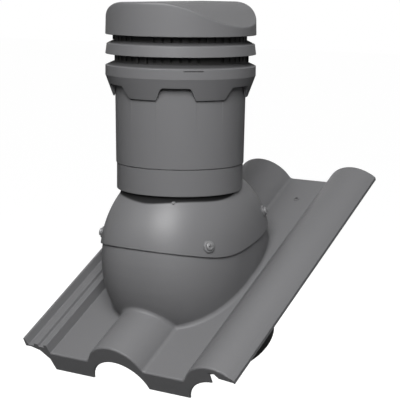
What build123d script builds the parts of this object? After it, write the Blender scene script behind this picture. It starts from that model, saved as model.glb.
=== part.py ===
from build123d import *
import math
import os

# A roof tile vent: a moulded double-roman tile with a dome, a hood that is
# screwed over the dome at the roof's pitch, and an upright exhaust chimney.
# X runs across the roof, Y is level and points up the slope, Z is up.
# The origin is where the chimney's axis meets the plane of the tile's pans.
# Slope coordinates are x across, u up the slope and n out of the tile.

# Roof and tile
roof_pitch = 28.35
tile_wall = 3.0
eave_u = -166.0
head_u = 260.0
tile_left = -145.4
tile_right = 183.2
roll_pitch = 150.0
roll_radius = 46.0
roll_height = 31.0
roll_foot_radius = 6.0
rim_height = 18.5
rim_width = 3.0
channel_floor = 8.5
rib_side = 1.2
rib_height = 12.5
rib_width = 6.4
rib_pitch = 16.6
rib_place = 16.0
inner_rib_height = 13.0
inner_rib_width = 4.8
lock_width = 39.6
lock_underside = 3.4
skirt_depth = 30.3
skirt_wall = 3.0
skirt_arch_radius = 44.4
skirt_arch_height = 5.5
skirt_left = [(0.0, 8.5), (22.7, 1.5), (34.7, -11.0), (38.4, -29.0)]
lap_step = 148.5
lap_height = 21.0
lap_hook = [(7.0, 0.0), (12.5, -6.0)]
lap_edge = 3.2
nail_hole_radius = 2.5
nail_rim_radius = 4.5
nail_rim_height = 1.0
nail_hole_u = 213.0
nail_hole_x = 76.0
nib_width = 34.0
nib_length = 12.0
nib_depth = 16.0
nib_u = 236.0

# Dome and hood, one barrel shape about a level axis across the roof
barrel_y = 18.3
barrel_z = 41.3
barrel_half_width = 100.5
barrel_radius = 127.7
barrel_power = 2.45
barrel_points = 12
barrel_end_flat = 0.5
hood_wall = 2.2
hood_clearance = 0.4
dome_wall = 3.0
dome_foot_radius = 5.5
crown_hole_radius = 79.0
crown_hole_travel = 16.0
rim_valley_y = -48.3
rim_valley_z = 12.3
rim_front_slope = 10.4
rim_back_slope = 11.1
rim_valley_radius = 180.0
hood_over_tile = 10.5
neck_radius = 79.0
neck_wall = 2.5
neck_foot_radius = 8.0
neck_top = barrel_z + barrel_radius - 1.0
pip_x = 37.7
pip_z = 85.3
pip_radius = 2.4
pip_height = 1.4

# Hood screws, placed by x and by height over the barrel's axis
front_screw_x = 84.5
front_screw_z = 31.7
back_screw_x = 83.0
back_screw_z = 58.0
pad_radius = 8.5
pad_height = 0.7
washer_radius = 7.5
washer_height = 1.4
screw_radius = 2.1
screw_head_radius = 5.2
screw_head_height = 3.4
screw_recess_width = 1.5
screw_recess_length = 6.0
screw_recess_depth = 1.8
screw_length = 14.0
screw_fit = 0.1
boss_radius = 5.0
boss_length = 11.0
boss_sunk = 1.0

# Duct spigot under the tile, square to the roof
frame_half_x = 104.0
frame_half_u = 126.0
frame_wall = 3.0
frame_bottom = -16.0
gasket_height = 1.5
spigot_u = 49.0
spigot_radius = 80.0
spigot_wall = 2.5
spigot_end = -136.0
flange_margin = 9.0
flange_height = 3.0
frame_boss_offset = 3.5
frame_boss_radius = 4.5
frame_boss_angle = 45.0
small_screw_radius = 1.75
small_head_radius = 3.6
small_head_height = 2.4
small_recess_length = 4.2
small_recess_width = 1.1
small_recess_depth = 1.2
spigot_screw_length = 15.0
hole_spare = 1.0

# Exhaust pipe and what surrounds it
pipe_radius = 62.5
pipe_wall = 2.5
pipe_bottom = 95.0
pipe_flange_radius = 72.0
fit = 0.3
seal_bottom = neck_top - 12.0
seal_height = 8.0
seal_lip = 1.6
gasket_wall = 1.2
gasket_bottom = neck_top - 8.5
gasket_bead_bottom = neck_top - 6.5
gasket_bead_height = 5.0
gasket_bead_side = 1.0
gasket_top = neck_top - 1.0

# Collar, housing and shroud
collar_radius = 84.1
collar_bottom = 134.9
collar_wall = 2.4
collar_clearance = 0.9
lap_z = 170.2
lap_gap = 0.8
lap_fit = 0.2
lap_inner_drop = 1.5
collar_neck_drop = 3.5
spigot_lap_height = 16.0
housing_wall = 2.5
housing_bottom_radius = 85.1
housing_draft_height = 91.8
housing_draft = 1.25
housing_top = 298.3
panel_count = 6
panel_half_angle = 17.5
panel_rise = 0.5
panel_bottom = 182.0
shroud_radius = 99.4
shroud_tip_radius = 89.2
shroud_tip_z = 258.5
shroud_band_bottom = 286.0
shroud_band_top = 298.6
shroud_top = 303.9
shroud_wall = 2.4
shroud_roof_run = 3.4
shroud_roof_drop = 1.8
shroud_band_lift = 0.4
shroud_flange_radius = 76.0
shroud_screw_inset = 3.2
shroud_screw_count = 3
shroud_boss_radius = 3.5
shroud_boss_height = 14.0
sleeve_notch_radius = 4.8
sleeve_notch_height = 20.0
flange_plate = 2.5
window_half_width = 25.5
window_top_half_width = 18.1
window_top = 274.5
window_corner = 5.0
snap_slot_angle = -46.5
snap_slot_width = 25.5
snap_slot_height = 1.6
snap_slot_z = 296.0

# Guard grille, louver ring and cap
guard_radius = 87.3
guard_wall = 2.4
guard_top = 346.0
guard_pipe_gap = 0.7
slot_count = 48
slot_width = 3.8
slot_bottom = 306.0
slot_top = 341.0
post_count = 6
post_half_angle = 4.2
post_width = 2.2
post_depth = 3.0
post_sunk = 0.4
louver_radius = 99.5
louver_bottom = 313.5
louver_crease_radius = 97.7
louver_crease_z = 326.8
louver_top = 331.2
louver_wall = 2.2
louver_seat = 316.0
louver_bore_edge = 1.0
louver_roof_drop = 3.1
louver_crease_drop = 1.3
cap_radius = 99.5
cap_draft = 1.1
cap_bottom = 338.8
cap_top = 381.2
cap_wall = 2.4
cap_flat_half = 26.0
cap_scoop_radius = 88.0
cap_scoop_slope = 33.0
cap_edge_radius = 2.4
cap_boss_radius = 4.5
cap_screw_circle = 70.0
cap_screw_count = 3
cap_screw_length = 16.0
cone_radius = 56.0
cone_tip = 321.0
cone_wall = 1.8
cone_rim = 6.0

slope = Rot(roof_pitch, 0, 0)
sine = math.sin(math.radians(roof_pitch))
cosine = math.cos(math.radians(roof_pitch))
barrel_u = barrel_y * cosine + barrel_z * sine
barrel_n = barrel_z * cosine - barrel_y * sine


def revolved(points):
    """A solid of revolution about Z from a closed outline of (radius, z)."""
    outline = Plane.XZ * make_face(Polyline(*points, close=True))
    return revolve(outline, Axis.Z)


def around(shape, angles):
    """Copies of a shape turned about Z to each angle."""
    return [Rot(0, 0, angle) * shape for angle in angles]


def spaced(count, start=0.0):
    """Even angles round a circle."""
    return [start + 360.0 * i / count for i in range(count)]


# Tile


def roll_edges(centre_x, drop):
    """One roll from foot to foot as two foot arcs and a crown arc.

    drop lowers the outline by a wall, with the same centres.
    """
    sunk = roll_radius - roll_height
    reach = roll_radius + roll_foot_radius
    foot_dx = math.sqrt(reach**2 - (roll_foot_radius + sunk) ** 2)
    lean = math.degrees(math.acos(foot_dx / reach))
    foot_arc = roll_foot_radius + drop
    crown = roll_radius - drop
    left = CenterArc((centre_x - foot_dx, roll_foot_radius), foot_arc, 270, 90 - lean)
    top = CenterArc((centre_x, -sunk), crown, 180 - lean, 2 * lean - 180)
    right = CenterArc((centre_x + foot_dx, roll_foot_radius), foot_arc, 180 + lean, 90 - lean)
    return [left, top, right]


def tile_line(drop):
    """The tile's top line, or with a drop its underside, from left to right."""
    sunk = roll_radius - roll_height
    reach = roll_radius + roll_foot_radius
    foot_dx = math.sqrt(reach**2 - (roll_foot_radius + sunk) ** 2)
    pan_left = tile_left + lock_width
    if drop == 0.0:
        first_rib = tile_left + rib_place
        second_rib = first_rib + rib_pitch
        lock = [
            (tile_left, rim_height),
            (tile_left + rim_width, rim_height),
            (tile_left + 2.0 * rim_width, channel_floor),
            (first_rib - rib_side, channel_floor),
            (first_rib, rib_height),
            (first_rib + rib_width, rib_height),
            (first_rib + rib_width + rib_side, channel_floor),
            (second_rib - rib_side, channel_floor),
            (second_rib, inner_rib_height),
            (second_rib + inner_rib_width, inner_rib_height),
            (pan_left, 0.0),
            (-foot_dx, 0.0),
        ]
    else:
        lock = [
            (tile_left, channel_floor - drop),
            (pan_left - lock_underside, channel_floor - drop),
            (pan_left - lock_underside + rib_side, -drop),
            (-foot_dx, -drop),
        ]
    crown = roll_radius - drop
    end_angle = math.degrees(math.acos((tile_right - roll_pitch) / crown))
    lean = math.degrees(math.acos(foot_dx / reach))
    lap = CenterArc((roll_pitch, -sunk), crown, 180 - lean, end_angle + lean - 180)
    pan = Line((foot_dx, -drop), (roll_pitch - foot_dx, -drop))
    lap_foot = roll_edges(roll_pitch, drop)[0]
    edges = [Polyline(*lock)] + roll_edges(0.0, drop) + [pan, lap_foot, lap]
    end_n = -sunk + crown * math.sin(math.radians(end_angle))
    return edges, lock[0], (tile_right, end_n)


def section_solid(edges, start_u, length):
    """A slope-frame solid whose section is a closed loop of (x, n) edges."""
    face = Plane.XZ * make_face(edges)
    return extrude(Pos(0, start_u, 0) * face, amount=length, dir=(0, 1, 0))


def tile_sheet():
    """The corrugated sheet from eave to head."""
    top_edges, top_start, top_end = tile_line(0.0)
    low_edges, low_start, low_end = tile_line(tile_wall)
    sides = [Line(top_start, low_start), Line(top_end, low_end)]
    return section_solid(top_edges + low_edges + sides, eave_u, head_u - eave_u)


def under_tile(depth):
    """Everything between the tile's top line and a depth below it."""
    top_edges, top_start, top_end = tile_line(0.0)
    low = Polyline(top_start, (top_start[0], -depth), (top_end[0], -depth), top_end)
    return section_solid(top_edges + [low], eave_u, head_u - eave_u)


def eave_skirt():
    """The front wall that hangs from the eave edge, arched under each roll."""
    top_edges, top_start, top_end = tile_line(0.0)
    drop = -skirt_depth
    centre_n = skirt_arch_height - skirt_arch_radius
    half = math.sqrt(skirt_arch_radius**2 - (drop - centre_n) ** 2)
    side = roll_pitch - lap_step
    lap_n = centre_n + math.sqrt(skirt_arch_radius**2 - side**2)
    steps = [(tile_left + x, n) for x, n in skirt_left]
    low_left = Polyline(top_start, *steps, (steps[-1][0], drop), (-half, drop))
    arch = ThreePointArc((-half, drop), (0.0, skirt_arch_height), (half, drop))
    start = roll_pitch - half
    middle = roll_pitch - 0.6 * half
    middle_n = centre_n + math.sqrt(skirt_arch_radius**2 - (0.6 * half) ** 2)
    pan = Line((half, drop), (start, drop))
    arch_2 = ThreePointArc((start, drop), (middle, middle_n), (lap_step, lap_n))
    hook = [(lap_step + x, lap_height + n) for x, n in lap_hook]
    low_right = Polyline(
        (lap_step, lap_n),
        (lap_step, lap_height),
        *hook,
        (tile_right, top_end[1] - lap_edge),
        top_end,
    )
    edges = top_edges + [low_left, arch, pan, arch_2, low_right]
    return section_solid(edges, eave_u, skirt_wall)


def barrel(offset):
    """The barrel of the dome and hood, grown or shrunk by an offset.

    Its outline is a superellipse turned about the level axis across the roof.
    """
    a = barrel_half_width + offset
    b = barrel_radius + offset
    points = []
    start = math.acos((1.0 - barrel_end_flat / a) ** (barrel_power / 2.0))
    for i in range(barrel_points + 1):
        t = math.pi - start - (math.pi - 2.0 * start) * i / barrel_points
        across = abs(math.cos(t)) ** (2.0 / barrel_power)
        out = abs(math.sin(t)) ** (2.0 / barrel_power)
        points.append((math.copysign(a * across, math.cos(t)), b * out))
    left = points[0]
    right = points[-1]
    ends = Polyline(right, (right[0], 0.0), (left[0], 0.0), left)
    face = make_face([Spline(*points), ends])
    return Pos(0, barrel_y, barrel_z) * Rot(-90, 0, 0) * revolve(face, Axis.X)


def barrel_height(x, offset=0.0):
    """The barrel's radius at x."""
    a = barrel_half_width + offset
    share = 1.0 - (abs(x) / a) ** barrel_power
    return (barrel_radius + offset) * share ** (1.0 / barrel_power)


def barrel_frame(x, z, side):
    """A plane on the barrel, its z axis pointing out; side is -1 in front."""
    radius = barrel_height(x)
    y = side * math.sqrt(radius**2 - z**2)
    slope_x = math.copysign((abs(x) / barrel_half_width) ** (barrel_power - 1), x)
    slope_r = (radius / barrel_radius) ** (barrel_power - 1)
    out_x = slope_x / barrel_half_width
    out_r = slope_r / barrel_radius
    out = (out_x, out_r * y / radius, out_r * z / radius)
    return Plane(origin=(x, y + barrel_y, z + barrel_z), z_dir=out)


def hood_screw_places():
    """The four screw planes on the hood."""
    places = []
    for x in (-front_screw_x, front_screw_x):
        places.append(barrel_frame(x, front_screw_z, -1))
    for x in (-back_screw_x, back_screw_x):
        places.append(barrel_frame(x, back_screw_z, 1))
    return places


def frame_ellipse(grow):
    """The outline of the duct frame under the tile, grown by an amount."""
    return Ellipse(frame_half_x + grow, frame_half_u + grow)


def frame_boss_places():
    """Where the four bosses of the duct frame stand, in slope (x, u)."""
    places = []
    for quarter in range(4):
        t = math.radians(frame_boss_angle + 90.0 * quarter)
        across = math.cos(t) / frame_half_x
        along = math.sin(t) / frame_half_u
        size = math.hypot(across, along)
        x = frame_half_x * math.cos(t) + frame_boss_offset * across / size
        u = frame_half_u * math.sin(t) + frame_boss_offset * along / size
        places.append((x, u + barrel_u))
    return places


def duct_frame():
    """The oval wall and bosses under the tile that the spigot closes on."""
    height = roll_height - frame_bottom
    wall = frame_ellipse(0.0) - frame_ellipse(-frame_wall)
    solid = Pos(0, barrel_u, frame_bottom) * extrude(wall, amount=height)
    for x, u in frame_boss_places():
        boss = Cylinder(frame_boss_radius, height, align=(Align.CENTER, Align.CENTER, Align.MIN))
        solid += Pos(x, u, frame_bottom) * boss
    return solid & under_tile(-frame_bottom)


def tile_nibs():
    """The two nibs that hook over the batten."""
    nib = Box(nib_width, nib_length, nib_depth, align=(Align.CENTER, Align.MIN, Align.MAX))
    return [Pos(x, nib_u, -tile_wall) * nib for x in (-nail_hole_x, nail_hole_x)]


def tile_plate():
    """The whole moulded tile with its dome, skirt, nibs and duct frame."""
    dome_offset = -hood_wall - hood_clearance
    level = Rot(-roof_pitch, 0, 0)
    outer = level * barrel(dome_offset)
    inner = level * barrel(dome_offset - dome_wall)
    dome = outer - under_tile(2.0 * barrel_radius)
    solid = tile_sheet() + dome
    solid = rounded_foot(solid, dome_offset)
    solid += eave_skirt()
    solid += duct_frame()
    for nib in tile_nibs():
        solid += nib
    solid -= inner
    for x in (-nail_hole_x, nail_hole_x):
        solid += Pos(x, nail_hole_u, 0) * Cylinder(nail_rim_radius, 2.0 * nail_rim_height)
        solid -= Pos(x, nail_hole_u, 0) * Cylinder(nail_hole_radius, 4.0 * tile_wall)
    for x, u in frame_boss_places():
        hole_depth = spigot_screw_length - flange_height - gasket_height
        hole = Cylinder(
            small_screw_radius + screw_fit,
            hole_depth + hole_spare,
            align=(Align.CENTER, Align.CENTER, Align.MIN),
        )
        solid -= Pos(x, u, frame_bottom) * hole
    solid = slope * solid
    hole_face = SlotCenterToCenter(2.0 * crown_hole_travel, 2.0 * crown_hole_radius, 90)
    solid -= Pos(0, barrel_y / 2.0, barrel_z) * extrude(hole_face, amount=2.0 * barrel_radius)
    for place in hood_screw_places():
        boss = Cylinder(boss_radius, boss_length, align=(Align.CENTER, Align.CENTER, Align.MAX))
        solid += place * Pos(0, 0, dome_offset - boss_sunk) * boss
        drill = Cylinder(screw_radius + screw_fit, 4.0 * boss_length)
        solid -= place * drill
    return solid.solid()


def tile_top(x):
    """The height of the tile's top line at x, between the interlocks."""
    sunk = roll_radius - roll_height
    reach = roll_radius + roll_foot_radius
    foot_dx = math.sqrt(reach**2 - (roll_foot_radius + sunk) ** 2)
    from_roll = min(abs(x), abs(x - roll_pitch))
    if from_roll >= foot_dx:
        return 0.0
    if from_roll > foot_dx * roll_radius / reach:
        return roll_foot_radius - math.sqrt(roll_foot_radius**2 - (foot_dx - from_roll) ** 2)
    return math.sqrt(roll_radius**2 - from_roll**2) - sunk


def rounded_foot(solid, offset):
    """Round the inside corner where the dome rises from the tile."""
    chosen = []
    for edge in solid.edges():
        meets = True
        for share in (0.1, 0.5, 0.9):
            point = edge.position_at(share)
            radius = math.hypot(point.Z - barrel_n, point.Y - barrel_u)
            across = (abs(point.X) / (barrel_half_width + offset)) ** barrel_power
            out = (radius / (barrel_radius + offset)) ** barrel_power
            if abs(across + out - 1.0) > 0.01 or abs(point.Z - tile_top(point.X)) > 0.05:
                meets = False
        if meets:
            chosen.append(edge)
    return fillet(chosen, dome_foot_radius)


# Hood


def dome_hood():
    """The hood shell with its V-shaped rim, neck and screw pads."""
    outer = barrel(0.0)
    neck = Pos(0, 0, barrel_z) * Cylinder(
        neck_radius,
        neck_top - barrel_z,
        align=(Align.CENTER, Align.CENTER, Align.MIN),
    )
    solid = neck_foot(outer + neck)
    for place in hood_screw_places():
        pad = Cylinder(pad_radius, 2.0, align=(Align.CENTER, Align.CENTER, Align.MAX))
        solid += place * Pos(0, 0, pad_height) * pad
    pip = Cylinder(pip_radius, 3.0, align=(Align.CENTER, Align.CENTER, Align.MAX))
    solid += barrel_frame(pip_x, pip_z, -1) * Pos(0, 0, pip_height) * pip
    solid -= barrel(-hood_wall)
    bore = Cylinder(neck_radius - neck_wall, 3.0 * barrel_radius)
    solid -= Pos(0, 0, barrel_z + 1.5 * barrel_radius) * bore
    front = 2.0 * barrel_radius
    front_z = rim_valley_z + (front + rim_valley_y) * math.tan(math.radians(rim_front_slope))
    back_z = rim_valley_z + (front - rim_valley_y) * math.tan(math.radians(rim_back_slope))
    line = FilletPolyline(
        (-front, front_z),
        (rim_valley_y, rim_valley_z),
        (front, back_z),
        radius=rim_valley_radius,
    )
    floor = Polyline((front, back_z), (front, -front), (-front, -front), (-front, front_z))
    below = extrude(Plane.YZ * make_face([line, floor]), amount=front, both=True)
    solid -= Pos(0, barrel_y, barrel_z) * below
    solid -= slope * Pos(0, 0, hood_over_tile) * under_tile(2.0 * barrel_radius)
    for place in hood_screw_places():
        solid -= place * Cylinder(screw_radius + screw_fit, 20.0)
    return largest(solid)


def neck_foot(solid):
    """Round the inside corner where the neck rises from the barrel."""
    chosen = []
    for edge in solid.edges():
        on_neck = True
        for share in (0.1, 0.5, 0.9):
            point = edge.position_at(share)
            on_circle = abs(math.hypot(point.X, point.Y) - neck_radius) < 0.05
            if not on_circle or point.Z < barrel_z or point.Z > neck_top - 1.0:
                on_neck = False
        if on_neck and edge.length > neck_radius / 10.0:
            chosen.append(edge)
    return fillet(chosen, neck_foot_radius)


def largest(shape):
    """The biggest solid of a result."""
    return sorted(shape.solids(), key=lambda item: item.volume)[-1]


def screw(radius, head_radius, head_height, length, recess_width, recess_length, recess_depth):
    """A pan-head screw with a cross recess; z = 0 is under its head."""
    edge = 0.35 * head_height
    face = make_face(
        [
            Polyline(
                (0, head_height),
                (0, -length),
                (0.3 * radius, -length),
                (radius, -length + 1.5 * radius),
                (radius, 0),
                (head_radius, 0),
                (head_radius, edge),
            ),
            ThreePointArc(
                (head_radius, edge),
                (0.72 * head_radius, 0.84 * head_height),
                (0, head_height),
            ),
        ]
    )
    solid = revolve(Plane.XZ * face, Axis.Z)
    for angle in (0, 90):
        slot = Box(recess_length, recess_width, 2.0 * recess_depth)
        solid -= Pos(0, 0, head_height) * Rot(0, 0, angle) * slot
    return solid


def hood_screws():
    """Four screws that clamp the hood to the dome."""
    one = screw(
        screw_radius,
        screw_head_radius,
        screw_head_height,
        screw_length,
        screw_recess_width,
        screw_recess_length,
        screw_recess_depth,
    )
    lift = pad_height + washer_height
    return Compound([place * Pos(0, 0, lift) * one for place in hood_screw_places()])


def hood_washers():
    """Four sealing washers under the hood screws."""
    ring = Cylinder(washer_radius, washer_height) - Cylinder(screw_radius + screw_fit, washer_height)
    lift = pad_height + washer_height / 2.0
    return Compound([place * Pos(0, 0, lift) * ring for place in hood_screw_places()])


def neck_gasket():
    """A rubber ring round the hood's neck that the collar grips."""
    inner = neck_radius + screw_fit
    outer = inner + gasket_wall
    grip = collar_radius - collar_wall - fit
    bead_top = gasket_bead_bottom + gasket_bead_height
    return revolved(
        [
            (inner, gasket_bottom),
            (outer, gasket_bottom),
            (outer, gasket_bead_bottom),
            (grip, gasket_bead_bottom + gasket_bead_side),
            (grip, bead_top - gasket_bead_side),
            (outer, bead_top),
            (outer, gasket_top),
            (inner, gasket_top),
        ]
    )


# Duct spigot


def duct_spigot():
    """The black duct connection with its oval flange, square to the roof."""
    flange_top = frame_bottom - gasket_height
    flange_low = flange_top - flange_height
    plate = Pos(0, barrel_u, flange_low) * extrude(frame_ellipse(flange_margin), amount=flange_height)
    barrel_tube = Pos(0, spigot_u, spigot_end) * Cylinder(
        spigot_radius,
        flange_top - spigot_end,
        align=(Align.CENTER, Align.CENTER, Align.MIN),
    )
    solid = plate + barrel_tube
    bore = Cylinder(spigot_radius - spigot_wall, 4.0 * (flange_top - spigot_end))
    solid -= Pos(0, spigot_u, spigot_end) * bore
    for x, u in frame_boss_places():
        solid -= Pos(x, u, flange_low) * Cylinder(small_screw_radius + screw_fit, 4.0 * flange_height)
    return slope * solid


def spigot_gasket():
    """The flat gasket between the tile's duct frame and the flange."""
    ring = frame_ellipse(0.0) - frame_ellipse(-frame_wall)
    solid = extrude(ring, amount=gasket_height)
    solid = Pos(0, barrel_u, frame_bottom - gasket_height) * solid
    for x, u in frame_boss_places():
        pad = Cylinder(frame_boss_radius, gasket_height)
        solid += Pos(x, u, frame_bottom - gasket_height / 2.0) * pad
    for x, u in frame_boss_places():
        hole = Cylinder(small_screw_radius + screw_fit, 4.0 * gasket_height)
        solid -= Pos(x, u, frame_bottom) * hole
    return slope * solid


def small_screw(length):
    """A small pan-head screw, head up."""
    return screw(
        small_screw_radius,
        small_head_radius,
        small_head_height,
        length,
        small_recess_width,
        small_recess_length,
        small_recess_depth,
    )


def spigot_screws():
    """Four screws up through the flange into the duct frame."""
    one = Rot(180, 0, 0) * small_screw(spigot_screw_length)
    low = frame_bottom - gasket_height - flange_height
    return Compound([slope * Pos(x, u, low) * one for x, u in frame_boss_places()])


# Chimney


def pipe_seal():
    """The lip seal between the exhaust pipe and the hood's neck."""
    inner = pipe_radius + screw_fit
    outer = neck_radius - neck_wall - screw_fit
    top = seal_bottom + seal_height
    return revolved(
        [
            (outer - seal_lip, seal_bottom),
            (outer, seal_bottom),
            (outer, top),
            (outer - seal_lip, top),
            (outer - seal_lip, seal_bottom + seal_lip),
            (inner + seal_lip, seal_bottom + seal_lip),
            (inner + seal_lip, top - seal_lip),
            (inner, top - seal_lip),
            (inner, seal_bottom),
        ]
    )


def exhaust_pipe():
    """The inner pipe, hung by its flange from the guard's floor."""
    flange_top = housing_top + flange_plate
    flange_low = flange_top - pipe_wall + screw_fit
    inner = pipe_radius - pipe_wall
    return revolved(
        [
            (inner, pipe_bottom),
            (pipe_radius, pipe_bottom),
            (pipe_radius, flange_low),
            (pipe_flange_radius, flange_low),
            (pipe_flange_radius, flange_top),
            (inner, flange_top),
        ]
    )


def housing_radius(z):
    """The housing's outer radius at a height."""
    return housing_bottom_radius + housing_draft * (z - lap_z) / housing_draft_height


def insulation_sleeve():
    """The foam sleeve between the pipe and the housing."""
    inner = pipe_radius + fit
    low = neck_top + fit
    step = lap_z + spigot_lap_height + collar_clearance
    narrow = collar_radius - 2.0 * collar_wall
    wide_low = housing_radius(step) - housing_wall - fit
    wide_top = housing_radius(housing_top) - housing_wall - fit
    solid = revolved(
        [
            (inner, low),
            (narrow, low),
            (narrow, step),
            (wide_low, step),
            (wide_top, housing_top - screw_fit),
            (inner, housing_top - screw_fit),
        ]
    )
    notch = Cylinder(sleeve_notch_radius, 2.0 * sleeve_notch_height)
    for angle in spaced(shroud_screw_count):
        solid -= Rot(0, 0, angle) * Pos(shroud_screw_radius(), 0, housing_top) * notch
    return solid


def shroud_screw_radius():
    """The circle of the screws that clamp guard and shroud to the housing."""
    return housing_radius(housing_top) - housing_wall - shroud_screw_inset


def chimney_collar():
    """The lower band, trimmed to a saddle over the hood behind."""
    inner = collar_radius - collar_wall
    lap_outer = housing_bottom_radius - housing_wall - lap_fit
    lap_inner = lap_outer - collar_wall
    step = lap_z - lap_gap
    top = lap_z + spigot_lap_height
    solid = revolved(
        [
            (inner, collar_bottom),
            (collar_radius, collar_bottom),
            (collar_radius, step),
            (lap_outer, step),
            (lap_outer, top),
            (lap_inner, top),
            (lap_inner, step - lap_inner_drop),
            (inner, step - collar_neck_drop),
        ]
    )
    return largest(solid - barrel(collar_clearance))


def outer_housing():
    """The tapered main tube with six shallow panels and screw bosses."""
    low = housing_radius(lap_z)
    high = housing_radius(housing_top)
    skin = revolved([(0, lap_z), (low, lap_z), (high, housing_top), (0, housing_top)])
    panel_low = housing_radius(panel_bottom)
    panel = revolved(
        [
            (panel_low - panel_rise, panel_bottom),
            (panel_low, panel_bottom),
            (high + panel_rise, housing_top),
            (high - panel_rise, housing_top),
        ]
    )
    reach = 2.0 * high
    spread = reach * math.tan(math.radians(panel_half_angle))
    wedge_face = make_face(Polyline((0, 0), (reach, -spread), (reach, spread), close=True))
    wedge = Pos(0, 0, panel_bottom) * extrude(wedge_face, amount=housing_top - panel_bottom)
    for cutter in around(wedge, spaced(panel_count)):
        skin += panel & cutter
    bore_low = low - housing_wall
    bore_high = high - housing_wall
    skin -= revolved([(0, lap_z), (bore_low, lap_z), (bore_high, housing_top), (0, housing_top)])
    hang = (Align.CENTER, Align.CENTER, Align.MAX)
    boss = Cylinder(shroud_boss_radius, shroud_boss_height, align=hang)
    drill = Cylinder(small_screw_radius + screw_fit, shroud_boss_height, align=hang)
    for angle in spaced(shroud_screw_count):
        place = Rot(0, 0, angle) * Pos(shroud_screw_radius(), 0, housing_top)
        skin += place * boss
        skin -= place * drill
    return skin


def shroud():
    """The flared skirt with six windows along its lower edge."""
    band = shroud_radius - shroud_wall
    tip_inner = housing_radius(shroud_tip_z) + panel_rise + fit
    flange_top = housing_top + flange_plate
    throat = guard_radius + fit
    solid = revolved(
        [
            (tip_inner, shroud_tip_z),
            (shroud_tip_radius, shroud_tip_z),
            (shroud_radius, shroud_band_bottom),
            (shroud_radius, shroud_band_top),
            (throat, shroud_top),
            (throat, flange_top),
            (shroud_flange_radius, flange_top),
            (shroud_flange_radius, housing_top),
            (band - shroud_roof_run, housing_top),
            (band, shroud_band_top - shroud_roof_drop),
            (band, shroud_band_bottom + shroud_band_lift),
        ]
    )
    rise = window_top - shroud_tip_z
    flare = (window_half_width - window_top_half_width) / rise
    low = shroud_tip_z - rise
    low_half = window_half_width + flare * rise
    line = FilletPolyline(
        (-low_half, low),
        (-window_top_half_width, window_top),
        (window_top_half_width, window_top),
        (low_half, low),
        radius=window_corner,
    )
    floor = Line((low_half, low), (-low_half, low))
    window = extrude(Plane.YZ * make_face([line, floor]), amount=2.0 * shroud_radius)
    for cutter in around(window, spaced(panel_count)):
        solid -= cutter
    outward = (Align.MIN, Align.CENTER, Align.CENTER)
    slot = Box(shroud_radius, snap_slot_width, snap_slot_height, align=outward)
    slot = Pos(band - shroud_band_lift, 0, snap_slot_z) * slot
    for cutter in around(slot, (snap_slot_angle, snap_slot_angle + 180.0)):
        solid -= cutter
    hole = Cylinder(small_screw_radius + screw_fit, 4.0 * flange_plate)
    for angle in spaced(shroud_screw_count):
        solid -= Rot(0, 0, angle) * Pos(shroud_screw_radius(), 0, housing_top) * hole
    return solid


def guard_grille():
    """The dark slotted cage that the louver ring and the cap sit on."""
    floor = housing_top + flange_plate
    inner = guard_radius - guard_wall
    hole_radius = pipe_radius + guard_pipe_gap
    solid = revolved(
        [
            (hole_radius, floor),
            (guard_radius, floor),
            (guard_radius, guard_top),
            (0, guard_top),
            (0, guard_top - guard_wall),
            (inner, guard_top - guard_wall),
            (inner, floor + guard_wall),
            (hole_radius, floor + guard_wall),
        ]
    )
    height = slot_top - slot_bottom
    middle = (slot_top + slot_bottom) / 2.0
    slot = Pos(guard_radius, 0, middle) * Box(6.0 * guard_wall, slot_width, height)
    pitch = 360.0 / slot_count
    per_post = slot_count // post_count
    for i in range(slot_count):
        if i % per_post not in (per_post // 2, per_post // 2 - 1):
            solid -= Rot(0, 0, (i + 0.5) * pitch) * slot
    for index, angle in enumerate(spaced(post_count, 30.0)):
        low, high = (louver_top + fit, slot_top) if index % 2 else (shroud_top + fit, louver_seat)
        rib = Box(
            post_depth,
            post_width,
            high - low,
            align=(Align.MIN, Align.CENTER, Align.MIN),
        )
        for lean in (-post_half_angle, post_half_angle):
            solid += Rot(0, 0, angle + lean) * Pos(guard_radius - post_sunk, 0, low) * rib
    hole = Cylinder(small_screw_radius + screw_fit, 4.0 * guard_wall)
    for angle in spaced(shroud_screw_count):
        solid -= Rot(0, 0, angle) * Pos(shroud_screw_radius(), 0, floor) * hole
    for angle in spaced(cap_screw_count, 30.0):
        solid -= Rot(0, 0, angle) * Pos(cap_screw_circle, 0, guard_top) * hole
    return solid


def shroud_screws():
    """Three screws down through guard and shroud into the housing."""
    one = small_screw(cap_screw_length)
    lift = housing_top + flange_plate + guard_wall
    place = Pos(shroud_screw_radius(), 0, lift)
    return Compound(around(place * one, spaced(shroud_screw_count)))


def louver_ring():
    """The louver: a skirt, a conical top and a sleeve on the guard."""
    bore = guard_radius + fit
    sleeve = bore + louver_wall
    return revolved(
        [
            (louver_radius, louver_bottom),
            (louver_crease_radius, louver_crease_z),
            (bore + louver_bore_edge, louver_top),
            (bore, louver_top),
            (bore, louver_seat),
            (sleeve, louver_seat),
            (sleeve, louver_top - louver_roof_drop),
            (louver_crease_radius - louver_wall, louver_crease_z - louver_crease_drop),
            (louver_radius - louver_wall, louver_bottom),
        ]
    )


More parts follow.
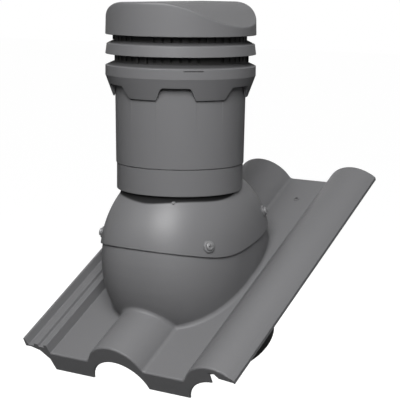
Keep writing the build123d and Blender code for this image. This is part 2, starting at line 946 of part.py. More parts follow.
def cap_form(offset, bottom):
    """The cap's outer form shrunk by an offset, standing on a bottom height."""
    top = cap_top - offset
    radius = cap_radius - offset
    drum = revolved([(0, bottom), (radius, bottom), (radius - cap_draft, top), (0, top)])
    lean = math.radians(cap_scoop_slope)
    arc_radius = cap_scoop_radius - offset
    end_x = cap_flat_half + arc_radius * math.sin(lean)
    end_z = top - arc_radius * (1.0 - math.cos(lean))
    half_x = cap_flat_half + arc_radius * math.sin(lean / 2.0)
    half_z = top - arc_radius * (1.0 - math.cos(lean / 2.0))
    far = 1.3 * cap_radius
    far_z = end_z - (far - end_x) * math.tan(lean)
    edges = [
        Line((-cap_flat_half, top), (cap_flat_half, top)),
        ThreePointArc((cap_flat_half, top), (half_x, half_z), (end_x, end_z)),
        Polyline((end_x, end_z), (far, far_z), (far, 0), (-far, 0), (-far, far_z), (-end_x, end_z)),
        ThreePointArc((-end_x, end_z), (-half_x, half_z), (-cap_flat_half, top)),
    ]
    saddle = extrude(Plane.XZ * make_face(edges), amount=2.0 * cap_radius, both=True)
    return drum & saddle


def top_cap():
    """The cap: a drum scooped on both sides, hollow below, with bosses."""
    form = cap_form(0.0, cap_bottom)
    rims = []
    for edge in form.edges():
        middle = edge.position_at(0.5)
        over_bottom = edge.bounding_box().max.Z > cap_bottom + cap_wall
        if over_bottom and math.hypot(middle.X, middle.Y) > 0.9 * cap_radius:
            rims.append(edge)
    solid = fillet(rims, cap_edge_radius)
    solid -= cap_form(cap_wall, cap_bottom)
    stand = (Align.CENTER, Align.CENTER, Align.MIN)
    boss = Cylinder(cap_boss_radius, cap_top - guard_top, align=stand)
    drill = Cylinder(small_screw_radius + screw_fit, cap_screw_length, align=stand)
    limit = cap_form(cap_wall / 2.0, cap_bottom)
    for angle in spaced(cap_screw_count, 30.0):
        place = Rot(0, 0, angle) * Pos(cap_screw_circle, 0, guard_top)
        solid += (place * boss) & limit
        solid -= place * drill
    return solid


def cap_screws():
    """Three screws up through the guard's roof into the cap."""
    one = Rot(180, 0, 0) * small_screw(cap_screw_length)
    place = Pos(cap_screw_circle, 0, guard_top - guard_wall)
    return Compound(around(place * one, spaced(cap_screw_count, 30.0)))


def rain_deflector():
    """The cone under the guard's roof that turns the air outwards."""
    seat = guard_top - guard_wall
    return revolved(
        [
            (0, cone_tip),
            (cone_radius, seat - cone_wall),
            (cone_radius, seat),
            (cone_radius - cone_rim, seat),
            (0, cone_tip + cone_wall),
        ]
    )


pieces = {
    "tile_plate": tile_plate,
    "duct_spigot": duct_spigot,
    "spigot_gasket": spigot_gasket,
    "spigot_screws": spigot_screws,
    "dome_hood": dome_hood,
    "hood_washers": hood_washers,
    "hood_screws": hood_screws,
    "neck_gasket": neck_gasket,
    "pipe_seal": pipe_seal,
    "exhaust_pipe": exhaust_pipe,
    "insulation_sleeve": insulation_sleeve,
    "chimney_collar": chimney_collar,
    "outer_housing": outer_housing,
    "shroud": shroud,
    "shroud_screws": shroud_screws,
    "guard_grille": guard_grille,
    "louver_ring": louver_ring,
    "top_cap": top_cap,
    "cap_screws": cap_screws,
    "rain_deflector": rain_deflector,
}

os.makedirs("parts", exist_ok=True)
for name, make in pieces.items():
    export_step(make(), f"parts/{name}.step")
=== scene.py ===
"""Surfaces, finishes and stage of a roof tile vent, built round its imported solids."""

import math

import bmesh
import bpy
import numpy as np
from mathutils import Matrix, Vector


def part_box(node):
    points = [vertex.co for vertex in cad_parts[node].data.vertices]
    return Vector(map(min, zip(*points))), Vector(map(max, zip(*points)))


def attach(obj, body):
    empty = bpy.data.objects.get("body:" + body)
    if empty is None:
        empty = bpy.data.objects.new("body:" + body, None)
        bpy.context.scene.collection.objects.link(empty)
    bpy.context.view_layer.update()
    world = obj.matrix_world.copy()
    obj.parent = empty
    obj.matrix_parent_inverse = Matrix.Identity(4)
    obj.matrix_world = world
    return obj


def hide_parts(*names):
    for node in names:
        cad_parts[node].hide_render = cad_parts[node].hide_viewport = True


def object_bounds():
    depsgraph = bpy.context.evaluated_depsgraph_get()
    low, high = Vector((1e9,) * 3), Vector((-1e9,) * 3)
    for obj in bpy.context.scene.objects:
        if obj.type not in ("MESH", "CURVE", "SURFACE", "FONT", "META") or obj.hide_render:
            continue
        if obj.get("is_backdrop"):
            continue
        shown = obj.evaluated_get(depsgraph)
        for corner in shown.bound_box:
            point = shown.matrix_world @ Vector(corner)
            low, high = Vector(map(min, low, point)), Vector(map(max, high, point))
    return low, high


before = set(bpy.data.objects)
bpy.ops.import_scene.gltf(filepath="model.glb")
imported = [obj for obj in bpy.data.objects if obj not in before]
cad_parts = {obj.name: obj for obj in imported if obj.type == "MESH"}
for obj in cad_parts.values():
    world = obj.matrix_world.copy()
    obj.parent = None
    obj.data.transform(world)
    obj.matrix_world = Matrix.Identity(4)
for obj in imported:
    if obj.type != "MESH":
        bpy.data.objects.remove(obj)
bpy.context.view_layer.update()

bl_info = {
    "name": "Roof tile vent",
    "version": (1, 0, 0),
    "blender": (4, 5, 0),
    "location": "View3D > Sidebar > Vent",
    "description": "Moulded surfaces, finishes and stage for a roof tile vent",
    "category": "Add Mesh",
}

# Rounded corners: steps of their arc, the flat margin beside it and the rows that come of both
ARC_STEPS = 4
MARGIN = 0.0004
ROWS_EACH = ARC_STEPS + 3
TINY_ROUND = 0.0003

# Where the middle point of a small lip lies, as a share of the lip
LIP_MIDDLE = 0.3

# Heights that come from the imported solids
CAP_LOW, CAP_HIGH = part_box("top_cap")
SHROUD_LOW, SHROUD_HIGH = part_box("shroud")
LOUVER_LOW, LOUVER_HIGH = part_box("louver_ring")
HOUSING_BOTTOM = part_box("outer_housing")[0].z
COLLAR_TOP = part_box("chimney_collar")[1].z
HOOD_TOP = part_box("dome_hood")[1].z

# How far the cap's top stays inside its solid, and how close two points are to be one
TRIM = 0.000005
WELD = 0.000002


def number(name, description, default, **more):
    """A number for the sidebar."""
    return bpy.props.FloatProperty(name=name, description=description, default=default, **more)


def length(name, description, default):
    """A size in metres."""
    return number(name, description, default, unit="LENGTH", subtype="DISTANCE", precision=5)


def angle(name, description, degrees):
    """An angle, given in degrees."""
    return number(name, description, math.radians(degrees), unit="ROTATION", subtype="ANGLE")


def colour(name, description, default):
    """A linear colour."""
    return bpy.props.FloatVectorProperty(
        name=name, description=description, default=default, size=3, subtype="COLOR", min=0.0, max=1.0
    )


def watts(name, description, default):
    """A lamp's power."""
    return number(name, description, default, unit="POWER", min=0.0)


def share(name, description, default):
    """A number from 0 to 1."""
    return number(name, description, default, subtype="FACTOR", min=0.0, max=1.0)


class TileSizes(bpy.types.PropertyGroup):
    """The tile's slope, its rolls, which the hood has to clear, and its softened edges."""

    pitch: angle("Roof pitch", "Slope of the tile", 28.35)
    roll_pitch: length("Roll pitch", "From one roll's crest to the next", 0.150)
    roll_radius: length("Roll radius", "Crown arc of a roll", 0.046)
    roll_height: length("Roll height", "Crest over the pans", 0.031)
    roll_foot: length("Roll foot", "Arc from a roll to the pan", 0.006)
    edge_round: length("Edge round", "Softened outer edges of the moulded tile", 0.0020)
    rib_round: share("Rib round", "Softening of the smaller edges, as a share of it", 0.3)
    lock_span: length("Interlock width", "Ribbed strip along the left side", 0.045)
    keep_right: length("Right edge", "Strip along the right edge that stays sharp", 0.006)


class HoodSizes(bpy.types.PropertyGroup):
    """The barrel-shaped hood, its folded rim and its neck."""

    centre_y: length("Centre up the roof", "The barrel's level axis, along Y", 0.0183)
    centre_z: length("Centre height", "The barrel's level axis, along Z", 0.0413)
    half_width: length("Half width", "Half of the barrel across the roof", 0.1005)
    radius: length("Radius", "The barrel's largest radius", 0.1277)
    power: number("Fullness", "Power of the outline, 2 being an ellipse", 2.45)
    wall: length("Wall", "Thickness of the hood", 0.0022)
    valley_y: length("Valley place", "Lowest line of the rim, from the axis", -0.0483)
    valley_z: length("Valley height", "Lowest line of the rim, over the axis", 0.0123)
    front_slope: angle("Front slope", "The rim's slope to the front", 10.4)
    back_slope: angle("Back slope", "The rim's slope to the back", 11.1)
    valley_radius: length("Valley radius", "Arc of the rim's fold", 0.180)
    over_tile: length("Over the tile", "Gap from the rim to the tile behind", 0.0105)
    neck_radius: length("Neck radius", "Outside of the neck", 0.079)
    neck_foot: length("Neck foot", "Arc from the hood up to the neck", 0.008)
    neck_wall: length("Neck wall", "Thickness of the neck", 0.0025)
    pad_radius: length("Pad radius", "Round pad under each washer", 0.0085)
    pad_height: length("Pad height", "Pad over the hood", 0.0007)
    pip_x: length("Pip across", "Injection pip on the front", 0.0377)
    pip_z: length("Pip height", "Injection pip over the axis", 0.0853)
    pip_radius: length("Pip radius", "Injection pip", 0.0024)
    pip_height: length("Pip rise", "Injection pip over the hood", 0.0014)


class FixingSizes(bpy.types.PropertyGroup):
    """The hood's four screws and their washers."""

    front_x: length("Front screws across", "From the middle", 0.0845)
    front_z: length("Front screws height", "Over the barrel's axis", 0.0317)
    back_x: length("Back screws across", "From the middle", 0.083)
    back_z: length("Back screws height", "Over the barrel's axis", 0.058)
    washer_radius: length("Washer radius", "Sealing washer", 0.0075)
    washer_height: length("Washer height", "Sealing washer", 0.0014)
    head_radius: length("Head radius", "Pan head", 0.0052)
    head_height: length("Head height", "Pan head", 0.0034)
    recess_length: length("Recess length", "Cross recess, across", 0.006)
    recess_width: length("Recess width", "Cross recess, each slot", 0.0015)
    recess_depth: length("Recess depth", "Cross recess", 0.0018)
    shank_radius: length("Shank radius", "Screw shank", 0.0021)
    shank_length: length("Shank length", "Screw shank under the head", 0.014)
    thread_pitch: length("Thread pitch", "Rise of a turn of the thread", 0.0014)
    thread_depth: length("Thread depth", "Height of the thread", 0.00045)


class ChimneySizes(bpy.types.PropertyGroup):
    """Collar, housing, shroud, louver ring and the guard's hoops."""

    collar_radius: length("Collar radius", "Outside of the lower band", 0.0841)
    collar_wall: length("Collar wall", "Thickness of the lower band", 0.0024)
    collar_bottom: length("Collar bottom", "Lower edge in front", 0.1349)
    collar_clearance: length("Collar clearance", "Gap from the collar to the hood behind", 0.0009)
    lap_z: length("Lap height", "Where the housing meets the collar", HOUSING_BOTTOM)
    lap_gap: length("Lap gap", "Shadow gap at the lap", 0.0008)
    housing_radius: length("Housing radius", "At the lap", 0.0851)
    housing_draft: length("Housing draft", "Growth of the radius up to the shroud", 0.00125)
    draft_height: length("Draft height", "Height over which the draft is given", 0.0918)
    housing_wall: length("Housing wall", "Thickness of the main tube", 0.0025)
    housing_top: length("Housing top", "Where the guard sits", 0.2983)
    panel_rise: length("Panel rise", "Step of the six panels at the top", 0.0005)
    panel_bottom: length("Panel bottom", "Where the panels fade out", 0.182)
    panel_half_angle: angle("Panel half angle", "Half of a panel's width", 17.5)
    shroud_radius: length("Shroud radius", "The upright band", 0.0994)
    shroud_tip_radius: length("Tip radius", "Lower end of the flare", 0.0892)
    band_bottom: length("Band bottom", "Where the flare begins", 0.286)
    band_top: length("Band top", "Upper end of the upright band", 0.2986)
    shroud_wall: length("Shroud wall", "Thickness of the shroud", 0.0024)
    shroud_throat: length("Shroud throat", "Bore round the guard", 0.0876)
    shroud_floor: length("Shroud floor", "Inner radius of the clamped flange", 0.076)
    floor_height: length("Flange height", "Thickness of the clamped flange", 0.0025)
    window_top: length("Window top", "Upper edge of the shroud's windows", 0.2745)
    window_half_width: length("Window half width", "At the shroud's lower edge", 0.0255)
    window_top_half_width: length("Window top half width", "At the windows' upper edge", 0.0181)
    window_corner: length("Window corner", "Arc of the windows' corners", 0.005)
    latch_angle: angle("Latch angle", "Direction of the latch slot", -46.5)
    latch_width: length("Latch width", "Length of the latch slot", 0.0255)
    latch_height: length("Latch height", "Width of the latch slot", 0.0016)
    latch_z: length("Latch place", "Height of the latch slot", 0.296)
    latch_depth: length("Latch depth", "Depth of the slot that shows", 0.0018)
    louver_crease_radius: length("Louver crease radius", "Upper edge of the louver's skirt", 0.0977)
    louver_crease_z: length("Louver crease height", "Upper edge of the louver's skirt", 0.3268)
    louver_bore: length("Louver bore", "Inside of the louver's sleeve", 0.0876)
    hoop_circle: length("Hoop circle", "Radius of the thin hoops in the guard's slots", 0.0861)
    hoop_radius: length("Hoop thickness", "Half the thickness of a hoop", 0.0005)
    hoop_pitch: length("Hoop pitch", "From hoop to hoop", 0.00125)
    hoop_low: length("Lowest hoop", "Height of the lowest hoop", 0.3068)
    hoop_high: length("Highest hoop", "Height of the highest hoop", 0.3406)
    louver_low: length("Hidden from", "Hoops are left out behind the louver from here", 0.3175)
    louver_high: length("Hidden to", "And up to here", 0.3290)
    louver_wall: length("Louver wall", "Thickness of the louver", 0.0022)
    louver_seat: length("Louver seat", "Lower end of the louver's sleeve", 0.316)
    edge_round: length("Edge round", "Softened outer edges", 0.0009)
    lip_round: length("Lip round", "Softened lower edges", 0.0005)


class CapSizes(bpy.types.PropertyGroup):
    """The drum-shaped cap with its two scoops."""

    radius: length("Radius", "At the lower edge", 0.0995)
    draft: length("Draft", "Loss of radius up to the top", 0.0011)
    wall: length("Wall", "Thickness of the cap", 0.0024)
    flat_half: length("Flat half width", "Half of the level strip on top", 0.026)
    scoop_radius: length("Scoop radius", "Arc from the strip into each scoop", 0.088)
    scoop_slope: angle("Scoop slope", "Slope of each scoop at its outer end", 33.0)
    edge_radius: length("Edge radius", "Rounded upper edge", 0.0024)
    boss_circle: length("Boss circle", "Circle of the three screw bosses", 0.070)
    boss_radius: length("Boss radius", "Screw bosses", 0.0045)
    boss_bottom: length("Boss bottom", "Lower end of the screw bosses", 0.346)
    boss_bore: length("Boss bore", "Radius of the bosses' holes", 0.00185)
    boss_depth: length("Boss depth", "Depth of the bosses' holes", 0.016)


class FinishColours(bpy.types.PropertyGroup):
    """Colours and roughness of the finishes, and the painted shade in the gaps."""

    graphite: colour("Graphite", "Moulded graphite plastic", (0.135, 0.135, 0.139))
    tile_graphite: colour("Tile graphite", "Moulded graphite plastic of the tile", (0.14, 0.14, 0.144))
    guard: colour("Guard", "Dark plastic of the guard", (0.011, 0.011, 0.011))
    duct: colour("Duct", "Black plastic of the duct", (0.016, 0.016, 0.0165))
    rubber: colour("Rubber", "Black rubber", (0.011, 0.011, 0.011))
    steel: colour("Steel", "Grey coated steel", (0.24, 0.24, 0.245))
    foam: colour("Foam", "Pale insulation foam", (0.42, 0.42, 0.41))
    hood_roughness: share("Hood roughness", "Hood", 0.4)
    satin_roughness: share("Satin roughness", "Chimney", 0.42)
    # Painted shade on the hood in the gap under the collar: where it is darkest, where it ends and how dark
    # it gets
    neck_dark: length("Neck dark", "From the axis, where the hood is darkest under the collar", 0.0792)
    neck_clear: length("Neck clear", "From the axis, where that shade ends", 0.0805)
    painted_neck_shade: share("Neck shade", "Brightness left in that shade", 0.12)
    # Painted shade on the cones of the shroud and the louver, in the gaps above them: its height and how dark
    # it gets
    cone_fade: length("Cone fade", "Height over which a cone in a gap darkens", 0.0022)
    painted_cone_shade: share("Cone shade", "Brightness left on those cones", 0.36)
    matt_roughness: share("Matt roughness", "Tile", 0.5)
    grain_scale: number("Grain scale", "Fineness of the moulded grain, per metre", 1400.0)


class StageSettings(bpy.types.PropertyGroup):
    """Camera, lamps and floor."""

    camera_x: length("Camera X", "Camera place", 0.96974)
    camera_y: length("Camera Y", "Camera place", -1.45058)
    camera_z: length("Camera Z", "Camera place", 0.40971)
    heading: angle("Heading", "Turn of the view from +Y, clockwise from above", -32.863)
    tilt: angle("Tilt", "How far the view points down", 9.504)
    roll: angle("Roll", "Turn of the picture", 0.599)
    lens: number("Lens", "Focal length for a 36 mm sensor", 118.38, unit="CAMERA")
    floor_drop: length("Floor drop", "Floor below the object", 0.42)
    floor_size: length("Floor size", "Side of the floor", 30.0)
    floor_grey: share("Floor grey", "Share of light that the floor throws back", 0.12)
    floor_lift: share("Floor lift", "Light added to the floor for the camera", 0.985)
    lamp_size: length("Lamp size", "Side of each square lamp", 1.4)
    lamp_distance: length("Lamp distance", "From the object's centre", 2.4)
    front_power: watts("Front power", "Broad lamp before the object", 86.0)
    gloss_power: watts("Gloss power", "Lamp up on the left that the satin pieces shine under", 50.0)
    side_power: watts("Side power", "Lamp up on the right", 3.0)
    fill_power: watts("Fill power", "Low lamp far on the right", 4.0)
    back_power: watts("Back power", "Low lamp behind the object, for views from there", 60.0)
    sky: number("Sky", "Light from all round", 0.05)
    gloss_share: share("White in gloss", "Share of the white background that glossy rays see", 0.35)


def sizes(group):
    """One group's sizes, as the sidebar has them."""
    return getattr(bpy.context.scene, "vent_" + group)


# Surfaces


def unit(vectors):
    """Vectors of length one."""
    return vectors / np.maximum(np.linalg.norm(vectors, axis=-1, keepdims=True), 1e-12)


def soften(corners, radii, steps=ARC_STEPS):
    """Closed outlines with every corner turned into an arc.

    corners is (corner, column, 2) and radii has one radius a corner. With the
    unit ways a and b to the two neighbours and h half the angle between them,
    the arc's centre is the corner plus (a + b) / |a + b| times radius / sin h,
    and it starts and ends radius / tan h along a and b. One more point a
    margin outside each end keeps the flat stretches flat when shaded.
    """
    before = unit(np.roll(corners, 1, axis=0) - corners)
    after = unit(np.roll(corners, -1, axis=0) - corners)
    half = np.arccos(np.clip((before * after).sum(-1), -1.0, 1.0)) / 2.0
    radius = np.broadcast_to(np.asarray(radii, float)[:, None], half.shape)
    reach = (radius / np.tan(half))[..., None]
    centre = corners + unit(before + after) * (radius / np.sin(half))[..., None]
    first = corners + before * reach - centre
    last = corners + after * reach - centre
    start = np.arctan2(first[..., 1], first[..., 0])
    sweep = np.arctan2(last[..., 1], last[..., 0]) - start
    sweep = (sweep + math.pi) % (2.0 * math.pi) - math.pi
    turn = start[:, None] + np.linspace(0.0, 1.0, steps + 1)[None, :, None] * sweep[:, None]
    arc = np.stack([np.cos(turn), np.sin(turn)], axis=-1) * radius[:, None, :, None]
    arc = arc + centre[:, None]
    lead_in = (corners + before * (reach + MARGIN))[:, None]
    lead_out = (corners + after * (reach + MARGIN))[:, None]
    rows = np.concatenate([lead_in, arc, lead_out], axis=1)
    return rows.reshape(-1, corners.shape[1], 2)


def pair(radius, height):
    """Radius and height side by side, each spread to the other's shape."""
    return np.stack(np.broadcast_arrays(radius, height), axis=-1)


def outline_of(corners, columns=1):
    """Corners from a list of (radius, height), each a number or an array with a value a column."""
    spread = np.zeros(columns)
    return np.stack([pair(radius + spread, height + spread) for radius, height in corners])


def insert_rows(outline, corner, shares):
    """A softened outline with more points before a corner's arc, at shares of the flat way to it."""
    cut = corner * ROWS_EACH
    start, end = outline[cut - 1], outline[cut]
    rows = start + shares[:, None, None] * (end - start)
    return np.concatenate([outline[:cut], rows, outline[cut:]])


def turned(outline, angles):
    """An outline carried round the upright axis.

    x = radius cos(angle), y = radius sin(angle), z = height, with one outline
    for all angles or one for each.
    """
    radius, height = np.broadcast_to(outline, (outline.shape[0], len(angles), 2)).transpose(2, 0, 1)
    return np.stack([radius * np.cos(angles), radius * np.sin(angles), height], axis=-1)


def grid_faces(rows, columns, close_rows=False, close_columns=True, start=0):
    """Four-cornered faces between neighbouring rows and columns of a grid."""
    i, j = np.meshgrid(
        np.arange(rows if close_rows else rows - 1),
        np.arange(columns if close_columns else columns - 1),
        indexing="ij",
    )
    below, beside = (i + 1) % rows, (j + 1) % columns
    corners = [i * columns + j, i * columns + beside, below * columns + beside, below * columns + j]
    return np.stack(corners, axis=-1).reshape(-1, 4) + start


def ring(points):
    """A surface closed both ways from a (row, column, 3) grid."""
    rows, columns = points.shape[:2]
    return points.reshape(-1, 3), [grid_faces(rows, columns, close_rows=True)]


def capped(points, first, last):
    """A surface closed round, with one pole point before its first row and one after its last."""
    rows, columns = points.shape[:2]
    around = np.arange(columns)
    beside = (around + 1) % columns
    count = rows * columns
    low = np.stack([np.full(columns, count), beside, around], axis=-1)
    end = (rows - 1) * columns
    high = np.stack([end + around, end + beside, np.full(columns, count + 1)], axis=-1)
    everything = np.concatenate([points.reshape(-1, 3), [first, last]])
    return everything, [grid_faces(rows, columns), low, high]


def placed(surface, origin, axes):
    """A surface moved to an origin, its x, y and z turned to the rows of axes."""
    points, faces = surface
    return points @ np.array(axes) + np.array(origin), faces


def together(surfaces):
    """Several surfaces as one list of points and faces."""
    points, faces, start = [], [], 0
    for some_points, some_faces in surfaces:
        points.append(some_points)
        faces.extend(face + start for face in some_faces)
        start += len(some_points)
    return np.concatenate(points), faces


def new_piece(name, surface, material, slot, *nodes):
    """A smooth mesh object of a surface that stands for CAD nodes."""
    points, faces = surface
    corners = np.concatenate([face.ravel() for face in faces])
    sizes = np.concatenate([np.full(len(face), face.shape[1]) for face in faces])
    mesh = bpy.data.meshes.new(name)
    mesh.vertices.add(len(points))
    mesh.vertices.foreach_set("co", points.astype(np.float32).ravel())
    mesh.loops.add(len(corners))
    mesh.loops.foreach_set("vertex_index", corners.astype(np.int32))
    mesh.polygons.add(len(sizes))
    mesh.polygons.foreach_set("loop_start", (np.cumsum(sizes) - sizes).astype(np.int32))
    mesh.polygons.foreach_set("use_smooth", np.ones(len(sizes), bool))
    mesh.update(calc_edges=True)
    if mesh.validate():
        raise RuntimeError(f"{name} has faces that fail")
    mesh.materials.append(material)
    piece = bpy.data.objects.new(name, mesh)
    bpy.context.scene.collection.objects.link(piece)
    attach(piece, "root")
    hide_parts(*nodes)
    return piece


def even_angles(count):
    """Angles all round."""
    return np.arange(count) * 2.0 * math.pi / count


def from_nearest(angles, count, start=0.0):
    """The angle to the nearest of a number of evenly spaced directions."""
    step = 2.0 * math.pi / count
    return np.abs((angles - start + 0.5 * step) % step - 0.5 * step)


def angles_with(edges, spread, count):
    """Angles all round, with more of them close to each edge."""
    near = (np.asarray(edges)[:, None] + np.asarray(spread)[None, :]).ravel()
    far = even_angles(count)
    gap = from_nearest(far[:, None] - near[None, :], 1).min(axis=1)
    closest = 0.002
    return np.sort(np.concatenate([far[gap > closest], near % (2.0 * math.pi)]))


def smooth_step(value, low, high):
    """From 0 at low to 1 at high with a soft start and end."""
    t = np.clip((value - low) / (high - low), 0.0, 1.0)
    return t * t * (3.0 - 2.0 * t)


def revolved(corners, radii, columns):
    """Softened corners carried all round, as a surface closed both ways."""
    return ring(turned(soften(corners, radii), even_angles(columns)))


# Finishes


def add_node(tree, kind, inputs, **settings):
    """The outputs of a new shader node, each of whose inputs is a value or the socket that feeds it."""
    node = tree.nodes.new("ShaderNode" + kind)
    for key, value in settings.items():
        setattr(node, key, value)
    for key, value in inputs.items():
        if isinstance(value, bpy.types.NodeSocket):
            tree.links.new(value, node.inputs[key])
        else:
            node.inputs[key].default_value = value
    return node.outputs


def add_math(tree, operation, *values):
    """The result of a new Math node."""
    return add_node(tree, "Math", dict(enumerate(values)), operation=operation)[0]


def new_group(name, inputs, outputs):
    """An empty shader node group, the outputs of its first node and the inputs of its last."""
    tree = bpy.data.node_groups.new(name, "ShaderNodeTree")
    for label, kind, value in inputs:
        socket = tree.interface.new_socket(name=label, in_out="INPUT", socket_type="NodeSocket" + kind)
        if value is not None:
            socket.default_value = value
    for label, kind in outputs:
        tree.interface.new_socket(name=label, in_out="OUTPUT", socket_type="NodeSocket" + kind)
    return tree, tree.nodes.new("NodeGroupInput").outputs, tree.nodes.new("NodeGroupOutput").inputs


# What the groups that change a finish take in and put out
LOOK_INPUTS = [
    ("Vector", "Vector", None),
    ("Colour", "Color", (0.1, 0.1, 0.1, 1.0)),
    ("Roughness", "Float", 0.5),
]
LOOK_OUTPUTS = [("Colour", "Color"), ("Roughness", "Float")]


def moulded_grain():
    """Group: the height of a fine spark-eroded grain over a slower ripple."""
    if "moulded_grain" in bpy.data.node_groups:
        return bpy.data.node_groups["moulded_grain"]
    inputs = [
        ("Vector", "Vector", None),
        ("Grain Scale", "Float", 1400.0),
        ("Ripple Scale", "Float", 60.0),
        ("Ripple Share", "Float", 0.3),
    ]
    tree, given, result = new_group("moulded_grain", inputs, [("Height", "Float")])

    def noise(scale, detail, roughness):
        values = {"Vector": given["Vector"], "Scale": scale, "Detail": detail, "Roughness": roughness}
        return add_node(tree, "TexNoise", values)["Fac"]

    fine = noise(given["Grain Scale"], 3.0, 0.6)
    slow = noise(given["Ripple Scale"], 1.0, 0.4)
    mix = add_node(tree, "Mix", {"Factor": given["Ripple Share"], "A": fine, "B": slow})
    tree.links.new(mix["Result"], result["Height"])
    return tree


def tone_drift():
    """Group: a colour and a roughness that wander a little over the surface."""
    if "tone_drift" in bpy.data.node_groups:
        return bpy.data.node_groups["tone_drift"]
    inputs = LOOK_INPUTS + [
        ("Cloud Scale", "Float", 9.0),
        ("Colour Drift", "Float", 0.06),
        ("Roughness Drift", "Float", 0.05),
    ]
    tree, given, result = new_group("tone_drift", inputs, LOOK_OUTPUTS)
    cloud = add_node(tree, "TexNoise", {
        "Vector": given["Vector"],
        "Scale": given["Cloud Scale"],
        "Detail": 4.0,
        "Roughness": 0.55,
    })
    centred = add_math(tree, "SUBTRACT", cloud["Fac"], 0.5)
    change = add_math(tree, "MULTIPLY_ADD", centred, given["Colour Drift"], 1.0)
    rough = add_math(tree, "MULTIPLY_ADD", centred, given["Roughness Drift"], given["Roughness"])
    tinted = add_node(tree, "VectorMath", {0: given["Colour"], "Scale": change}, operation="SCALE")
    tree.links.new(tinted[0], result["Colour"])
    tree.links.new(rough, result["Roughness"])
    return tree


def new_tree(data):
    """The emptied node tree of a material or world."""
    data.use_nodes = True
    data.node_tree.nodes.clear()
    return data.node_tree


def finish(name, base, roughness, grain=0.0006, scale=1400.0, drift=0.06, metallic=0.0, specular=0.5):
    """A moulded, rubber or coated finish from the two shared groups."""
    if name in bpy.data.materials:
        return bpy.data.materials[name]
    material = bpy.data.materials.new(name)
    tree = new_tree(material)
    place = add_node(tree, "TexCoord", {})["Object"]
    values = {"Vector": place, "Colour": (*base, 1.0), "Roughness": roughness, "Colour Drift": drift}
    tone = add_node(tree, "Group", values, node_tree=tone_drift())
    relief = add_node(tree, "Group", {"Vector": place, "Grain Scale": scale}, node_tree=moulded_grain())
    bump = add_node(tree, "Bump", {"Height": relief["Height"], "Strength": 0.35, "Distance": grain})
    shader = add_node(tree, "BsdfPrincipled", {
        "Base Color": tone["Colour"],
        "Roughness": tone["Roughness"],
        "Normal": bump["Normal"],
        "Metallic": metallic,
        "Specular IOR Level": specular,
    })
    add_node(tree, "OutputMaterial", {"Surface": shader["BSDF"]})
    return material


def gap_shade():
    """Group: painted shade, a colour darkened and a roughness dulled between two distances along a way, for
    the shade in a gap.
    """
    if "gap_shade" in bpy.data.node_groups:
        return bpy.data.node_groups["gap_shade"]
    inputs = LOOK_INPUTS + [
        ("Way", "Vector", (1.0, 1.0, 0.0)),
        ("Dark At", "Float", 0.0792),
        ("Clear At", "Float", 0.0805),
        ("Shade", "Float", 0.12),
    ]
    tree, given, result = new_group("gap_shade", inputs, LOOK_OUTPUTS)
    flat = add_node(tree, "VectorMath", {0: given["Vector"], 1: given["Way"]}, operation="MULTIPLY")
    away = add_node(tree, "VectorMath", {0: flat[0]}, operation="LENGTH")["Value"]

    def ramp(low, high):
        values = {"Value": away, "From Min": given["Dark At"], "From Max": given["Clear At"]}
        values |= {"To Min": low, "To Max": high}
        return add_node(tree, "MapRange", values, interpolation_type="SMOOTHSTEP")["Result"]

    # Painted shade: the colour darkens towards Dark At, and the roughness rises there to dull the highlight
    dark = ramp(given["Shade"], 1.0)
    tinted = add_node(tree, "VectorMath", {0: given["Colour"], "Scale": dark}, operation="SCALE")
    tree.links.new(tinted[0], result["Colour"])
    tree.links.new(ramp(1.0, given["Roughness"]), result["Roughness"])
    return tree


def graphite(name, roughness, specular=0.4):
    """The moulded graphite plastic of the hood and the chimney."""
    look = sizes("finish")
    return finish(name, look.graphite, roughness, scale=look.grain_scale, specular=specular)


def satin_graphite():
    """The chimney's finish."""
    return graphite("satin_graphite", sizes("finish").satin_roughness)


def shaded(material, way, dark_at, clear_at, shade):
    """Puts the painted gap shade between a finish and its colour and roughness."""
    tree = material.node_tree
    if any(node.type == "GROUP" and node.node_tree == gap_shade() for node in tree.nodes):
        return material
    skin = next(node for node in tree.nodes if node.type == "BSDF_PRINCIPLED").inputs
    place = next(node for node in tree.nodes if node.type == "TEX_COORD").outputs["Object"]
    colour_in, rough_in = (skin[label].links[0].from_socket for label in ("Base Color", "Roughness"))
    inputs = {"Vector": place, "Colour": colour_in, "Roughness": rough_in}
    inputs |= {"Way": way, "Dark At": dark_at, "Clear At": clear_at, "Shade": shade}
    group = add_node(tree, "Group", inputs, node_tree=gap_shade())
    tree.links.new(group["Colour"], skin["Base Color"])
    tree.links.new(group["Roughness"], skin["Roughness"])
    return material


def gloss_graphite():
    """The hood's finish: smoother than the chimney's, with painted shade and dulled gloss in the gap under
    the collar.
    """
    look = sizes("finish")
    material = graphite("gloss_graphite", look.hood_roughness, 0.5)
    return shaded(material, (1.0, 1.0, 0.0), look.neck_dark, look.neck_clear, look.painted_neck_shade)


def cone_graphite_painted_shade(name, height):
    """The chimney's finish, with painted shade and dulled gloss on the cone that rises into a gap from a
    height.
    """
    look = sizes("finish")
    material = graphite(name, look.satin_roughness)
    return shaded(material, (0.0, 0.0, 1.0), height + look.cone_fade, height, look.painted_cone_shade)


def matt_graphite():
    """The tile's finish, with a coarser grain."""
    look = sizes("finish")
    coarse = 0.6 * look.grain_scale
    return finish("matt_graphite", look.tile_graphite, look.matt_roughness, 0.0009, coarse, specular=0.4)


def guard_plastic():
    """The dark plastic of the guard and the deflector."""
    return finish("guard_plastic", sizes("finish").guard, 0.8, specular=0.1)


def duct_plastic():
    """The black plastic of the duct and the inner pipe."""
    return finish("duct_plastic", sizes("finish").duct, 0.42)


def black_rubber():
    """The seals and gaskets."""
    return finish("black_rubber", sizes("finish").rubber, 0.75, specular=0.3)


def coated_steel():
    """The screws and washers."""
    look = sizes("finish")
    return finish("coated_steel", look.steel, 0.42, grain=0.0003, scale=2600.0, drift=0.2, metallic=0.35)


def pale_foam():
    """The insulation sleeve."""
    return finish("pale_foam", sizes("finish").foam, 0.9, grain=0.002, scale=420.0, drift=0.12)


# Shape of the tile and the hood


